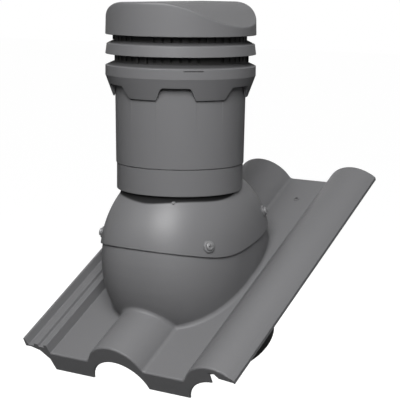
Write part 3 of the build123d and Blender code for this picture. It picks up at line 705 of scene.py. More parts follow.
def tile_height(x):
    """The tile's top over its pans at x: a crown arc on two foot arcs for each roll."""
    tile = sizes("tile")
    sunk = tile.roll_radius - tile.roll_height
    reach = tile.roll_radius + tile.roll_foot
    foot_dx = math.sqrt(reach**2 - (tile.roll_foot + sunk) ** 2)
    away = np.minimum(np.abs(x), np.abs(x - tile.roll_pitch))
    crown = np.sqrt(np.maximum(tile.roll_radius**2 - away**2, 0.0)) - sunk
    foot = tile.roll_foot - np.sqrt(np.maximum(tile.roll_foot**2 - (foot_dx - away) ** 2, 0.0))
    inner = np.where(away > foot_dx * tile.roll_radius / reach, foot, crown)
    return np.where(away >= foot_dx, 0.0, inner)


def barrel_radius(x, grow=0.0):
    """The barrel's radius at x: |x / a|**p + (radius / b)**p = 1."""
    hood = sizes("hood")
    left = np.maximum(1.0 - (np.abs(x) / (hood.half_width + grow)) ** hood.power, 0.0)
    return (hood.radius + grow) * left ** (1.0 / hood.power)


def barrel_point(angles, lift, inset):
    """Where a ray from the barrel's centre leaves the barrel, its walls moved in by inset.

    The ray points to (cos lift cos angle, cos lift sin angle, sin lift), and
    its length is ((|x| / a)**p + (across / b)**p) ** (-1 / p), across being
    its distance from the level axis.
    """
    hood = sizes("hood")
    ways = np.stack([np.cos(lift) * np.cos(angles), np.cos(lift) * np.sin(angles), np.sin(lift)], axis=-1)
    across = np.hypot(ways[..., 1], ways[..., 2])
    sides = (np.abs(ways[..., 0]) / (hood.half_width - inset)) ** hood.power
    ends = (across / (hood.radius - inset)) ** hood.power
    reach = (sides + ends) ** (-1.0 / hood.power)
    return ways * reach[..., None] + np.array([0.0, hood.centre_y, hood.centre_z])


def rim_height(y):
    """Height of the hood's folded rim at y: two slopes joined by an arc."""
    hood = sizes("hood")
    away = y - hood.centre_y - hood.valley_y
    bisector = (math.pi - hood.front_slope + hood.back_slope) / 2.0
    half = (math.pi - hood.front_slope - hood.back_slope) / 2.0
    lift = hood.valley_radius / math.sin(half)
    middle = lift * math.cos(bisector)
    reach = hood.valley_radius / math.tan(half)
    drop = np.sqrt(np.maximum(hood.valley_radius**2 - (away - middle) ** 2, 0.0))
    arc = lift * math.sin(bisector) - drop
    slopes = np.where(away < 0.0, -away * math.tan(hood.front_slope), away * math.tan(hood.back_slope))
    on_arc = (away > -reach * math.cos(hood.front_slope)) & (away < reach * math.cos(hood.back_slope))
    return hood.centre_z + hood.valley_z + np.where(on_arc, arc, slopes)


def over_rim(points):
    """True where a point lies above the rim and clear of the tile behind."""
    tile = sizes("tile")
    hood = sizes("hood")
    x, y, z = points[..., 0], points[..., 1], points[..., 2]
    out = z * math.cos(tile.pitch) - y * math.sin(tile.pitch)
    return (z > rim_height(y)) & (out > tile_height(x) + hood.over_tile)


def find_lift(angles, inset, test):
    """By halving, the lowest lift at each angle from which the test holds upwards."""
    low = np.full(angles.shape, math.radians(-10.0))
    high = np.full(angles.shape, math.radians(89.0))
    for _ in range(40):
        middle = (low + high) / 2.0
        holds = test(barrel_point(angles, middle, inset))
        low, high = np.where(holds, low, middle), np.where(holds, middle, high)
    return high


def barrel_over(radius, azimuth):
    """Height of the barrel over a place given by its radius and angle round the chimney."""
    hood = sizes("hood")
    x, y = radius * np.cos(azimuth), radius * np.sin(azimuth) - hood.centre_y
    return hood.centre_z + np.sqrt(np.maximum(barrel_radius(x) ** 2 - y**2, 0.0))


def neck_foot(azimuth):
    """Where the arc at the neck's foot leaves the barrel, and the barrel's slope there.

    An arc of radius f that touches the neck and a surface of slope m leaves
    the surface f (1 + m / sqrt(1 + m**2)) outside the neck.
    """
    hood = sizes("hood")
    step = 0.0002
    radius = np.full(azimuth.shape, hood.neck_radius + 0.5 * hood.neck_foot)
    for _ in range(8):
        fall = (barrel_over(radius + step, azimuth) - barrel_over(radius - step, azimuth)) / (2.0 * step)
        radius = hood.neck_radius + hood.neck_foot * (1.0 + fall / np.sqrt(1.0 + fall**2))
    return radius, fall


def hood_shell():
    """The hood as one closed surface.

    Rows follow the wall: up the outside from the rim to the arc at the neck's
    foot, up the neck, over its top, and down the inside to the rim again. A
    row on the barrel is a share of the way between its lowest and its highest
    lift, and the rim's own rows step in through the wall on a small arc.
    """
    hood = sizes("hood")
    angles = even_angles(360)
    lip = 0.0006
    near = MARGIN / hood.radius

    def barrel_rows(inset, radius_at, steps):
        rim = find_lift(angles, inset, over_rim)

        def over_neck(points):
            azimuth = np.arctan2(points[..., 1], points[..., 0])
            return np.hypot(points[..., 0], points[..., 1]) < radius_at(azimuth)

        first, last = rim + lip / hood.radius, find_lift(angles, inset, over_neck)
        between = np.linspace(0.0, 1.0, steps)[1:-1, None]
        rows = first + near + between * (last - first - 2.0 * near)
        rows = np.concatenate([[first], [first + near], rows, [last - near], [last]])
        return barrel_point(angles[None, :], rows, inset)

    def rim_rows():
        quarter = np.linspace(0.0, math.pi / 2.0, 4)[1:]
        outer_in = lip * (1.0 - np.cos(quarter))
        outer_up = lip * (1.0 - np.sin(quarter))
        inset = np.concatenate([hood.wall - outer_in, outer_in[::-1]])
        rise = np.concatenate([outer_up, outer_up[::-1]])
        return [
            barrel_point(angles, find_lift(angles, depth, over_rim) + up / hood.radius, depth)
            for depth, up in zip(inset, rise)
        ]

    outside = barrel_rows(0.0, lambda azimuth: neck_foot(azimuth)[0], 44)
    azimuth = np.arctan2(outside[-1, :, 1], outside[-1, :, 0])
    radius, fall = neck_foot(azimuth)
    centre_z = barrel_over(radius, azimuth) + hood.neck_foot / np.sqrt(1.0 + fall**2)
    start = np.arctan2(-1.0, fall)
    turn = start + np.linspace(0.0, 1.0, 8)[1:, None] * (-math.pi - start)
    arc_radius = hood.neck_radius + hood.neck_foot * (1.0 + np.cos(turn))
    arc = turned(pair(arc_radius, centre_z + hood.neck_foot * np.sin(turn)), azimuth)

    bore = hood.neck_radius - hood.neck_wall
    inside = barrel_rows(hood.wall, lambda azimuth: bore + 0.0 * azimuth, 30)[::-1]
    top = HOOD_TOP
    edge = outline_of([
        (hood.neck_radius, top - lip),
        (hood.neck_radius - LIP_MIDDLE * lip, top - LIP_MIDDLE * lip),
        (hood.neck_radius - lip, top),
        (bore + lip, top),
        (bore + LIP_MIDDLE * lip, top - LIP_MIDDLE * lip),
        (bore, top - lip),
    ])
    grid = np.concatenate([outside, arc, turned(edge, azimuth), inside, np.array(rim_rows())])
    return ring(grid)


def barrel_place(x, z, side, lift=0.0):
    """Origin and axes of a place on the barrel, the third axis pointing out."""
    hood = sizes("hood")
    radius = float(barrel_radius(x))
    y = side * math.sqrt(radius**2 - z**2)
    out_x = math.copysign((abs(x) / hood.half_width) ** (hood.power - 1.0), x) / hood.half_width
    out_r = (radius / hood.radius) ** (hood.power - 1.0) / hood.radius
    out = unit(np.array([out_x, out_r * y / radius, out_r * z / radius]))
    across = unit(np.cross([0.0, 0.0, 1.0], out))
    origin = np.array([x, y + hood.centre_y, z + hood.centre_z]) + out * lift
    return origin, np.array([across, np.cross(out, across), out])


def fixing_places(lift):
    """The four places of the hood's screws."""
    fixing = sizes("fixing")
    spots = [(-fixing.front_x, fixing.front_z, -1), (fixing.front_x, fixing.front_z, -1)]
    spots += [(-fixing.back_x, fixing.back_z, 1), (fixing.back_x, fixing.back_z, 1)]
    return [barrel_place(x, z, side, lift) for x, z, side in spots]


def disc(radius, height, depth, edge, columns=64):
    """A round pad, its lower end sunk by depth and its upper edge an arc of radius edge."""
    turn = np.linspace(0.0, math.pi / 2.0, 5)
    flat, wall_top = radius - edge, height - edge
    radii = np.concatenate([[radius, radius], flat + edge * np.cos(turn), [flat - MARGIN]])
    heights = np.concatenate([[-depth, wall_top - MARGIN], wall_top + edge * np.sin(turn), [height]])
    grid = turned(pair(radii, heights)[:, None, :], even_angles(columns))
    return capped(grid, [0.0, 0.0, -depth], [0.0, 0.0, height])


# Shape of the chimney


def housing_wall_radius(z):
    """The housing's outer radius at a height."""
    size = sizes("chimney")
    return size.housing_radius + size.housing_draft * (z - size.lap_z) / size.draft_height


def collar_foot(angles, radius):
    """Lower edge of the collar: level in front, and over the hood behind."""
    size = sizes("chimney")
    hood = sizes("hood")
    x, y = radius * np.cos(angles), radius * np.sin(angles) - hood.centre_y
    room = barrel_radius(x, size.collar_clearance) ** 2 - y**2
    saddle = hood.centre_z + np.sqrt(np.maximum(room, 0.0))
    return np.maximum(saddle, size.collar_bottom)


def collar_surface():
    """The collar's outline with its foot fitted to the hood, carried round."""
    size = sizes("chimney")
    columns = 300
    angles = even_angles(columns)
    lap_play, waist_low, waist_high = 0.0002, 0.0035, 0.0015
    foot_round, step_round, root_round, lip = 0.0008, 0.0004, 0.0002, size.lip_round
    outer, inner = size.collar_radius, size.collar_radius - size.collar_wall
    lap_outer = size.housing_radius - size.housing_wall - lap_play
    lap_inner = lap_outer - size.collar_wall
    step = size.lap_z - size.lap_gap
    corners = [
        (inner, collar_foot(angles, inner)),
        (outer, collar_foot(angles, outer)),
        (outer, step),
        (lap_outer, step),
        (lap_outer, COLLAR_TOP),
        (lap_inner, COLLAR_TOP),
        (lap_inner, step - waist_high),
        (inner, step - waist_low),
    ]
    radii = [lip, foot_round, step_round, root_round, lip, lip, lip, lip]
    return revolved(outline_of(corners, columns), radii, columns)


def housing_surface():
    """The main tube: a drafted wall whose six panels stand out as they rise."""
    size = sizes("chimney")
    panels = np.arange(6) * math.pi / 3.0
    edges = np.concatenate([panels - size.panel_half_angle, panels + size.panel_half_angle])
    soft = math.radians(0.22)
    angles = angles_with(edges, np.linspace(-2.0 * soft, 2.0 * soft, 9), 180)
    inside_edge = size.panel_half_angle - from_nearest(angles, 6)
    on_panel = smooth_step(inside_edge, -soft, soft)
    low, high = housing_wall_radius(size.lap_z), housing_wall_radius(size.housing_top)
    corners = outline_of([
        (low - size.housing_wall, size.lap_z),
        (low, size.lap_z),
        (high, size.housing_top),
        (high - size.housing_wall, size.housing_top),
    ])
    outline = soften(corners, [TINY_ROUND, size.lip_round, TINY_ROUND, TINY_ROUND])
    outline = insert_rows(outline, 2, np.linspace(0.0, 1.0, 16)[1:-1])
    outline = np.repeat(outline, len(angles), axis=1)
    radius, height = outline[..., 0], outline[..., 1]
    outward = radius > housing_wall_radius(height) - 0.5 * size.housing_wall
    rise = np.clip((height - size.panel_bottom) / (size.housing_top - size.panel_bottom), 0.0, 1.0)
    radius += outward * rise * size.panel_rise * on_panel
    return ring(turned(outline, angles))


def window_edge(angles):
    """Height of the shroud's lower edge at each angle: six windows with sloped sides.

    The sides run straight up towards the middle. ln(1 + e**t) rounds them
    into the upper edge, and more sharply into the lower one.
    """
    size = sizes("chimney")
    tip = SHROUD_LOW.z
    across = size.shroud_tip_radius * np.sin(from_nearest(angles, 6))
    sloped = (size.window_half_width - across) / (size.window_half_width - size.window_top_half_width)
    raw = tip + (size.window_top - tip) * sloped
    soft = 0.35 * size.window_corner
    sharp = 0.12 * soft
    top = size.window_top - soft * np.logaddexp(0.0, (size.window_top - raw) / soft)
    return tip + sharp * np.logaddexp(0.0, (top - tip) / sharp)


def shroud_surface():
    """The shroud: its outline with a lower edge that steps up at each window, and the latch slots."""
    size = sizes("chimney")
    columns = 960
    angles = even_angles(columns)
    low = window_edge(angles)
    tip, band = SHROUD_LOW.z, size.shroud_radius - size.shroud_wall
    lip_play, shelf, shelf_drop = 0.0003, 0.0034, 0.0018
    flare_lift, flare_round, slot_fade = 0.0004, 0.0016, 0.0008
    flange_top = size.housing_top + size.floor_height
    share_up = (low - tip) / (size.band_bottom - tip)
    corners = [
        (housing_wall_radius(tip) + size.panel_rise + lip_play, low),
        (size.shroud_tip_radius + share_up * (size.shroud_radius - size.shroud_tip_radius), low),
        (size.shroud_radius, size.band_bottom),
        (size.shroud_radius, size.band_top),
        (size.shroud_throat, SHROUD_HIGH.z),
        (size.shroud_throat, flange_top),
        (size.shroud_floor, flange_top),
        (size.shroud_floor, size.housing_top),
        (band - shelf, size.housing_top),
        (band, size.band_top - shelf_drop),
        (band, size.band_bottom + flare_lift),
    ]
    lip = size.lip_round
    outline = soften(outline_of(corners, columns), [lip, lip, flare_round, size.edge_round] + [lip] * 7)
    cut = 3 * ROWS_EACH
    low_z, high_z = outline[cut - 1, 0, 1], outline[cut, 0, 1]
    half = 0.5 * size.latch_height
    slot_rows = np.array([-1.25, -1.0, -0.9, -0.3, 0.3, 0.9, 1.0, 1.25])
    marks = slot_rows * half + size.latch_z
    marks = np.concatenate([np.linspace(low_z, marks[0], 6)[1:-1], marks])
    marks = marks[(marks > low_z) & (marks < high_z)]
    outline = insert_rows(outline, 3, (marks - low_z) / (high_z - low_z))
    inside_end = 0.5 * size.latch_width - from_nearest(angles, 2, size.latch_angle) * size.shroud_radius
    wall = outline[cut : cut + len(marks)]
    in_height = np.abs(wall[..., 1] - size.latch_z) < half * slot_rows[5:7].mean()
    wall[..., 0] -= size.latch_depth * smooth_step(inside_end, 0.0, slot_fade) * in_height
    return ring(turned(outline, angles))


def louver_surface():
    """The louver ring: skirt, crease, cone and inner sleeve, carried round."""
    size = sizes("chimney")
    bore, wall, cone_end = size.louver_bore, size.louver_wall, 0.001
    cone_drop, crease_drop = 1.4 * wall, 0.6 * wall
    radius, bottom, top = LOUVER_HIGH.x, LOUVER_LOW.z, LOUVER_HIGH.z
    corners = outline_of([
        (radius - wall, bottom),
        (radius, bottom),
        (size.louver_crease_radius, size.louver_crease_z),
        (bore + cone_end, top),
        (bore, top),
        (bore, size.louver_seat),
        (bore + wall, size.louver_seat),
        (bore + wall, top - cone_drop),
        (size.louver_crease_radius - wall, size.louver_crease_z - crease_drop),
    ])
    lip = size.lip_round
    return revolved(corners, [lip, lip, size.edge_round, TINY_ROUND, TINY_ROUND] + [lip] * 4, 300)


def merged_copy(node, flat_angle=0.0):
    """A copy of a CAD node's mesh whose triangles share their corners, and are joined where they lie flat."""
    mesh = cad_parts[node].data.copy()
    form = bmesh.new()
    form.from_mesh(mesh)
    bmesh.ops.remove_doubles(form, verts=form.verts, dist=WELD)
    if flat_angle > 0.0:
        bmesh.ops.dissolve_limit(form, angle_limit=flat_angle, verts=form.verts, edges=form.edges)
    form.to_mesh(mesh)
    form.free()
    return mesh


def guard_surface():
    """The guard's own mesh with thin hoops across its slots.

    A hoop's points are (R + r cos b) in radius and z + r sin b in height.
    """
    size = sizes("chimney")
    mesh = merged_copy("guard_grille")
    points = np.empty(3 * len(mesh.vertices))
    mesh.vertices.foreach_get("co", points)
    mesh.calc_loop_triangles()
    triangles = np.empty(3 * len(mesh.loop_triangles), int)
    mesh.loop_triangles.foreach_get("vertices", triangles)
    surfaces = [(points.reshape(-1, 3), [triangles.reshape(-1, 3)])]
    around = even_angles(8)
    section = size.hoop_radius * pair(np.cos(around), np.sin(around)) + [size.hoop_circle, 0.0]
    heights = np.arange(size.hoop_low, size.hoop_high, size.hoop_pitch)
    for height in heights[(heights < size.louver_low) | (heights > size.louver_high)]:
        surfaces.append(ring(turned((section + [0.0, height])[:, None, :], even_angles(120))))
    return together(surfaces)


def cap_top_height(x, inset):
    """Height of the cap's top at x: a level strip, an arc, then a slope to each side."""
    cap = sizes("cap")
    top = CAP_HIGH.z - TRIM - inset
    arc = cap.scoop_radius - inset
    away = np.maximum(np.abs(x) - cap.flat_half, 0.0)
    end = arc * math.sin(cap.scoop_slope)
    on_arc = top - arc + np.sqrt(np.maximum(arc**2 - np.minimum(away, end) ** 2, 0.0))
    return on_arc - np.maximum(away - end, 0.0) * math.tan(cap.scoop_slope)


def cap_top_slope(x, inset):
    """How fast the cap's top falls with x."""
    step = 0.00005
    return (cap_top_height(x + step, inset) - cap_top_height(x - step, inset)) / (2.0 * step)


def cap_surface():
    """The cap from the middle of its ceiling, out, down, round the lower edge and back over the top.

    In each upright half plane the top is cap_top_height(radius cos angle). The
    upper edge is an arc that touches the wall and the line of the top there,
    whose centre lies one edge radius inside both.
    """
    cap = sizes("cap")
    angles = even_angles(360)
    cosine = np.cos(angles)
    bottom, top, lip = CAP_LOW.z, CAP_HIGH.z - TRIM, 0.0007

    def wall_radius(z, inset):
        return cap.radius - inset - cap.draft * (z - bottom) / (top - bottom)

    def edge_height(inset):
        height = cap_top_height((cap.radius - inset - cap.draft) * cosine, inset)
        return cap_top_height(wall_radius(height, inset) * cosine, inset)

    def under_top(radius, inset):
        return pair(radius, cap_top_height(radius * cosine, inset))

    def along_wall(height, inset):
        return pair(wall_radius(height, inset), height)

    rim_z = edge_height(0.0)
    rim_radius = wall_radius(rim_z, 0.0)
    fall = cap_top_slope(rim_radius * cosine, 0.0) * cosine
    rho = cap.edge_radius
    centre_z = rim_z - fall * rho - rho * np.sqrt(1.0 + fall**2)
    turn = np.linspace(0.0, 1.0, 9)[:, None] * np.arctan2(1.0, -fall)
    edge_rows = pair(rim_radius - rho + rho * np.cos(turn), centre_z + rho * np.sin(turn))
    shares = np.concatenate([[1.0 - MARGIN / cap.radius], np.linspace(1.0, 0.0, 40)[1:-1]])
    top_rows = under_top(shares[:, None] * edge_rows[-1, :, 0], 0.0)

    inner_radius, middle = cap.radius - cap.wall, LIP_MIDDLE * lip
    lips = outline_of([
        (inner_radius + middle, bottom + middle),
        (inner_radius + lip, bottom),
        (cap.radius - lip, bottom),
        (cap.radius - middle, bottom + middle),
        (cap.radius, bottom + lip),
    ], len(angles))
    climb = np.concatenate([[0.01], np.linspace(0.0, 1.0, 12)[1:-1], [0.985]])[:, None]
    wall_rows = along_wall(bottom + lip + climb * (centre_z - bottom - lip), 0.0)

    ceiling_edge = edge_height(cap.wall)
    ceiling_r = np.linspace(0.0, 1.0, 24)[1:, None] * wall_radius(ceiling_edge, cap.wall)
    down = np.linspace(0.0, 1.0, 6)[1:, None]
    inner_rows = along_wall(ceiling_edge + down * (bottom + lip - ceiling_edge), cap.wall)
    outline = [under_top(ceiling_r, cap.wall), inner_rows, lips, wall_rows, edge_rows, top_rows]
    grid = turned(np.concatenate(outline), angles)
    shell = capped(grid, [0.0, 0.0, top - cap.wall], [0.0, 0.0, top])
    return together([shell] + [cap_boss(math.radians(30.0 + 120.0 * i)) for i in range(3)])


def cap_boss(direction):
    """A screw boss under the cap: a tube with a blind hole, its upper end in the ceiling."""
    cap = sizes("cap")
    x, y = cap.boss_circle * math.cos(direction), cap.boss_circle * math.sin(direction)
    top = float(cap_top_height(np.array(abs(x) + cap.boss_radius), 0.5 * cap.wall))
    cover = 0.002
    hole = min(cap.boss_bottom + cap.boss_depth, top - cover)
    outline = outline_of([
        (cap.boss_bore, hole),
        (cap.boss_bore, cap.boss_bottom),
        (cap.boss_radius, cap.boss_bottom),
        (cap.boss_radius, top),
    ])
    tube = capped(turned(outline, even_angles(32)), [0.0, 0.0, hole], [0.0, 0.0, top])
    return placed(tube, [x, y, 0.0], np.eye(3))


def screw_surface():
    """A pan-head screw, z = 0 under its head.

    The head's top is a dome height(radius), lowered inside a cross whose arms
    are |x| or |y| under half the recess width and whose depth fades to its
    ends. The shank is a cone point and a helical ridge, whose radius goes up
    and down once a pitch and once a turn.
    """
    fixing = sizes("fixing")
    angles = even_angles(96)
    shank, head, tall = fixing.shank_radius, fixing.head_radius, fixing.head_height
    core, tip, edge, blur = shank - fixing.thread_depth, 0.0003, 0.0003, 0.00012
    neck, under_head, tip_drop, rim = 0.001, 0.0005, 0.0006, 0.3 * tall
    climb = np.linspace(-fixing.shank_length, -neck, 60)[:, None]
    taper = np.clip((climb + fixing.shank_length) / (1.6 * shank), 0.0, 1.0)
    turns = climb / fixing.thread_pitch - angles / (2.0 * math.pi)
    ridge = (1.0 - np.abs((turns % 1.0) * 2.0 - 1.0)) ** 3
    thread = fixing.thread_depth * ridge * smooth_step(taper, 0.2, 1.0)
    shank_rows = pair(tip + (core - tip) * taper + thread, climb)
    side = [(core, -under_head), (core, 0.0), (head - edge, 0.0), (head, edge), (head, rim)]
    dome = np.linspace(0.0, 1.0, 40)[1:-1, None] * math.pi / 2.0
    radius = head * np.cos(dome)
    x, y = np.abs(radius * np.cos(angles)), np.abs(radius * np.sin(angles))
    arm, reach = 0.5 * fixing.recess_width, 0.5 * fixing.recess_length

    def arm_depth(across, along):
        in_width = smooth_step(-across, -arm - blur, -arm + blur)
        return in_width * smooth_step(-along, -reach - blur, -0.4 * reach)

    sunk = fixing.recess_depth * np.maximum(arm_depth(y, x), arm_depth(x, y))
    top_rows = pair(radius, rim + (tall - rim) * np.sin(dome) ** 0.8 - sunk)
    grid = turned(np.concatenate([shank_rows, outline_of(side, len(angles)), top_rows]), angles)
    low = [0.0, 0.0, -fixing.shank_length - tip_drop]
    return capped(grid, low, [0.0, 0.0, tall - fixing.recess_depth])


def washer_surface():
    """A sealing washer: a flat ring with a rounded outer edge."""
    fixing = sizes("fixing")
    play, foot_round, top_round = 0.0001, 0.0003, 0.0006
    inner, outer = fixing.shank_radius + play, fixing.washer_radius
    corners = [(inner, 0.0), (outer, 0.0), (outer, fixing.washer_height), (inner, fixing.washer_height)]
    return revolved(outline_of(corners), [play, foot_round, top_round, play], 72)


# Operators


def finish_node(name, material, edge=0.0):
    """Gives a CAD node its material, and softened edges where it shows."""
    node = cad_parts[name]
    if not node.material_slots:
        node.data.materials.append(material)
    for holder in node.material_slots:
        holder.link = "OBJECT"
        holder.material = material
    if edge > 0.0:
        weld = node.modifiers.new("weld", "WELD")
        weld.merge_threshold = WELD
        bevel = node.modifiers.new("edges", "BEVEL")
        bevel.width = edge
        bevel.segments = 2
        bevel.limit_method = "ANGLE"
        bevel.angle_limit = math.radians(35.0)
        bevel.use_clamp_overlap = False
        weighted = node.modifiers.new("shading", "WEIGHTED_NORMAL")
        weighted.weight = 60
    return node


def tile_skin(name):
    """A merged copy of the tile's mesh, its flat stretches joined and its edges marked for rounding."""
    tile = sizes("tile")
    flat_angle, sharp_angle = math.radians(0.3), math.radians(32.0)
    mesh = merged_copy("tile_plate", flat_angle)
    mesh.name = name
    mesh.shade_smooth()
    mesh.set_sharp_from_angle(angle=sharp_angle)
    places = np.empty(3 * len(mesh.vertices))
    mesh.vertices.foreach_get("co", places)
    ends = np.empty(2 * len(mesh.edges), int)
    mesh.edges.foreach_get("vertices", ends)
    x, y, z = places.reshape(-1, 3)[ends.reshape(-1, 2)].mean(axis=1).T
    up_slope = y * math.cos(tile.pitch) + z * math.sin(tile.pitch)
    outward = z * math.cos(tile.pitch) - y * math.sin(tile.pitch)
    sharp = np.zeros(len(mesh.edges), bool)
    mesh.attributes["sharp_edge"].data.foreach_get("value", sharp)
    eave_face, eave_depth, head_depth, underside = 0.0005, 0.004, 0.002, -0.034
    at_eave = up_slope < up_slope.min() + eave_face
    at_end = (up_slope < up_slope.min() + eave_depth) | (up_slope > up_slope.max() - head_depth)
    in_lock = x < x.min() + tile.lock_span
    clear = x < x.max() - tile.keep_right
    shown = sharp & clear & (outward > underside) & (in_lock | at_end)
    weight = np.where(at_eave & ~in_lock, 1.0, tile.rib_round) * shown
    mark = mesh.attributes.new("bevel_weight_edge", "FLOAT", "EDGE")
    mark.data.foreach_set("value", weight.astype(np.float32))
    return mesh


class VENT_OT_tile(bpy.types.Operator):
    """Builds the moulded tile with softened edges"""

    bl_idname = "vent.tile"
    bl_label = "Tile"

    def execute(self, context):
        mesh = tile_skin("tile_skin")
        mesh.materials.clear()
        mesh.materials.append(matt_graphite())
        piece = bpy.data.objects.new("tile_skin", mesh)
        context.scene.collection.objects.link(piece)
        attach(piece, "root")
        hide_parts("tile_plate")
        bevel = piece.modifiers.new("edges", "BEVEL")
        bevel.width = context.scene.vent_tile.edge_round
        bevel.segments = 3
        bevel.limit_method = "WEIGHT"
        bevel.use_clamp_overlap = False
        weighted = piece.modifiers.new("shading", "WEIGHTED_NORMAL")
        weighted.keep_sharp = True
        weighted.weight = 60
        return {"FINISHED"}


class VENT_OT_hood(bpy.types.Operator):
    """Builds the hood with its pads and pip"""

    bl_idname = "vent.hood"
    bl_label = "Hood"

    def execute(self, context):
        hood = context.scene.vent_hood
        sunk, pad_edge, pip_edge = 0.0012, 0.0004, 0.0006
        pad = disc(hood.pad_radius, hood.pad_height, sunk, pad_edge)
        surfaces = [hood_shell()] + [placed(pad, *place) for place in fixing_places(0.0)]
        pip = disc(hood.pip_radius, hood.pip_height, sunk, pip_edge, 32)
        surfaces.append(placed(pip, *barrel_place(hood.pip_x, hood.pip_z, -1)))
        # The hood's colour carries painted shade in the gap under the collar
        new_piece("hood_shell", together(surfaces), gloss_graphite(), "hood_plastic", "dome_hood")
        return {"FINISHED"}


class VENT_OT_fixings(bpy.types.Operator):
    """Builds the hood's screws and washers"""

    bl_idname = "vent.fixings"
    bl_label = "Hood fixings"

    def execute(self, context):
        hood = context.scene.vent_hood
        fixing = context.scene.vent_fixing
        washers = [placed(washer_surface(), *place) for place in fixing_places(hood.pad_height)]
        new_piece("screw_washers", together(washers), coated_steel(), "screw_steel", "hood_washers")
        lift = hood.pad_height + fixing.washer_height
        screws = [placed(screw_surface(), *place) for place in fixing_places(lift)]
        new_piece("pan_screws", together(screws), coated_steel(), "screw_steel", "hood_screws")
        return {"FINISHED"}


class VENT_OT_chimney(bpy.types.Operator):
    """Builds the collar, the housing and the shroud"""

    bl_idname = "vent.chimney"
    bl_label = "Chimney"

    def execute(self, context):
        look = satin_graphite()
        new_piece("collar_band", collar_surface(), look, "chimney_plastic", "chimney_collar")
        new_piece("housing_tube", housing_surface(), look, "chimney_plastic", "outer_housing")
        # The shroud's upper cone carries painted shade in its gap
        cone = cone_graphite_painted_shade("shroud_graphite", context.scene.vent_chimney.band_top)
        new_piece("shroud_skirt", shroud_surface(), cone, "chimney_plastic", "shroud")
        return {"FINISHED"}


class VENT_OT_head(bpy.types.Operator):
    """Builds the louver ring, the cap and the guard, and finishes the deflector"""

    bl_idname = "vent.head"
    bl_label = "Louver and cap"

    def execute(self, context):
        look = satin_graphite()
        # The louver's cone carries painted shade in its gap
        cone = cone_graphite_painted_shade("louver_graphite", context.scene.vent_chimney.louver_crease_z)
        new_piece("louver_band", louver_surface(), cone, "chimney_plastic", "louver_ring")
        new_piece("cap_drum", cap_surface(), look, "chimney_plastic", "top_cap")
        guard = new_piece("guard_cage", guard_surface(), guard_plastic(), "guard_plastic", "guard_grille")
        corner_angle = math.radians(50.0)
        guard.data.set_sharp_from_angle(angle=corner_angle)
        finish_node("rain_deflector", guard_plastic())
        return {"FINISHED"}


class VENT_OT_inside(bpy.types.Operator):
    """Finishes the duct, the seals, the sleeve and the hidden screws"""

    bl_idname = "vent.inside"
    bl_label = "Duct and inside"

    def execute(self, context):
        edge = 0.5 * context.scene.vent_tile.edge_round
        finish_node("duct_spigot", duct_plastic(), edge)
        finish_node("exhaust_pipe", duct_plastic())
        for name in ("spigot_gasket", "neck_gasket", "pipe_seal"):
            finish_node(name, black_rubber())
        for name in ("spigot_screws", "shroud_screws", "cap_screws"):
            finish_node(name, coated_steel())
        finish_node("insulation_sleeve", pale_foam())
        return {"FINISHED"}


WHITE = (1.0, 1.0, 1.0, 1.0)

# Each lamp's azimuth from +X and elevation in degrees, and whether it only shines in gloss
LAMPS = {
    "front": (-64.0, 38.0, False),
    "gloss": (-96.0, 48.0, True),
    "side": (-35.0, 45.0, False),
    "fill": (15.0, 25.0, False),
    "back": (126.0, 14.0, False),
}


def white_for_camera(tree, plain, gloss_share):
    """Mixes a plain sky with white light for rays that see it straight, and with a share of it in gloss."""
    path = add_node(tree, "LightPath", {})
    shine = add_math(tree, "MULTIPLY", path["Is Glossy Ray"], gloss_share)
    either = add_math(tree, "MAXIMUM", shine, path["Is Transmission Ray"])
    seen = add_math(tree, "MAXIMUM", path["Is Camera Ray"], either)
    white = add_node(tree, "Background", {"Strength": 1.0, "Color": WHITE})
    return add_node(tree, "MixShader", {0: seen, 1: plain[0], 2: white[0]})


def set_world(strength, gloss_share):
    """An even grey sky that the camera sees as white."""
    world = bpy.data.worlds.new("sky")
    bpy.context.scene.world = world
    tree = new_tree(world)
    plain = add_node(tree, "Background", {"Strength": strength, "Color": WHITE})
    mix = white_for_camera(tree, plain, gloss_share)
    add_node(tree, "OutputWorld", {"Surface": mix[0]})


def floor_material(grey, lift):
    """A pale floor, lifted to white for the camera where no shadow falls, and clear from below."""
    material = bpy.data.materials.new("pale_floor")
    tree = new_tree(material)
    plain = add_node(tree, "BsdfDiffuse", {"Color": (grey, grey, grey, 1.0)})
    seen = add_node(tree, "LightPath", {})["Is Camera Ray"]
    glow = add_node(tree, "Emission", {"Strength": add_math(tree, "MULTIPLY", seen, lift)})
    both = add_node(tree, "AddShader", {0: plain[0], 1: glow[0]})
    below = add_node(tree, "NewGeometry", {})["Backfacing"]
    clear = add_node(tree, "BsdfTransparent", {})
    choose = add_node(tree, "MixShader", {0: below, 1: both[0], 2: clear[0]})
    add_node(tree, "OutputMaterial", {"Surface": choose[0]})
    return material


def add_floor(height, size, material):
    """A square floor."""
    half = size / 2.0
    corners = [(x, y, height) for x, y in ((-half, -half), (half, -half), (half, half), (-half, half))]
    mesh = bpy.data.meshes.new("floor")
    mesh.from_pydata(corners, [], [(0, 1, 2, 3)])
    mesh.materials.append(material)
    floor = bpy.data.objects.new("floor", mesh)
    bpy.context.scene.collection.objects.link(floor)
    floor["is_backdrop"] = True


def add_lamp(name, aim, stage):
    """A square soft lamp that points at a place and either lights or only shines in gloss."""
    azimuth, elevation, shines = LAMPS[name]
    lamp = bpy.data.lights.new(name, "AREA")
    lamp.size = stage.lamp_size
    lamp.energy = getattr(stage, name + "_power")
    holder = bpy.data.objects.new(name, lamp)
    holder.location = aim + stage.lamp_distance * way(azimuth, elevation)
    holder.visible_glossy = shines
    holder.visible_diffuse = not shines
    holder.rotation_euler = (aim - holder.location).to_track_quat("-Z", "Y").to_euler()
    bpy.context.scene.collection.objects.link(holder)


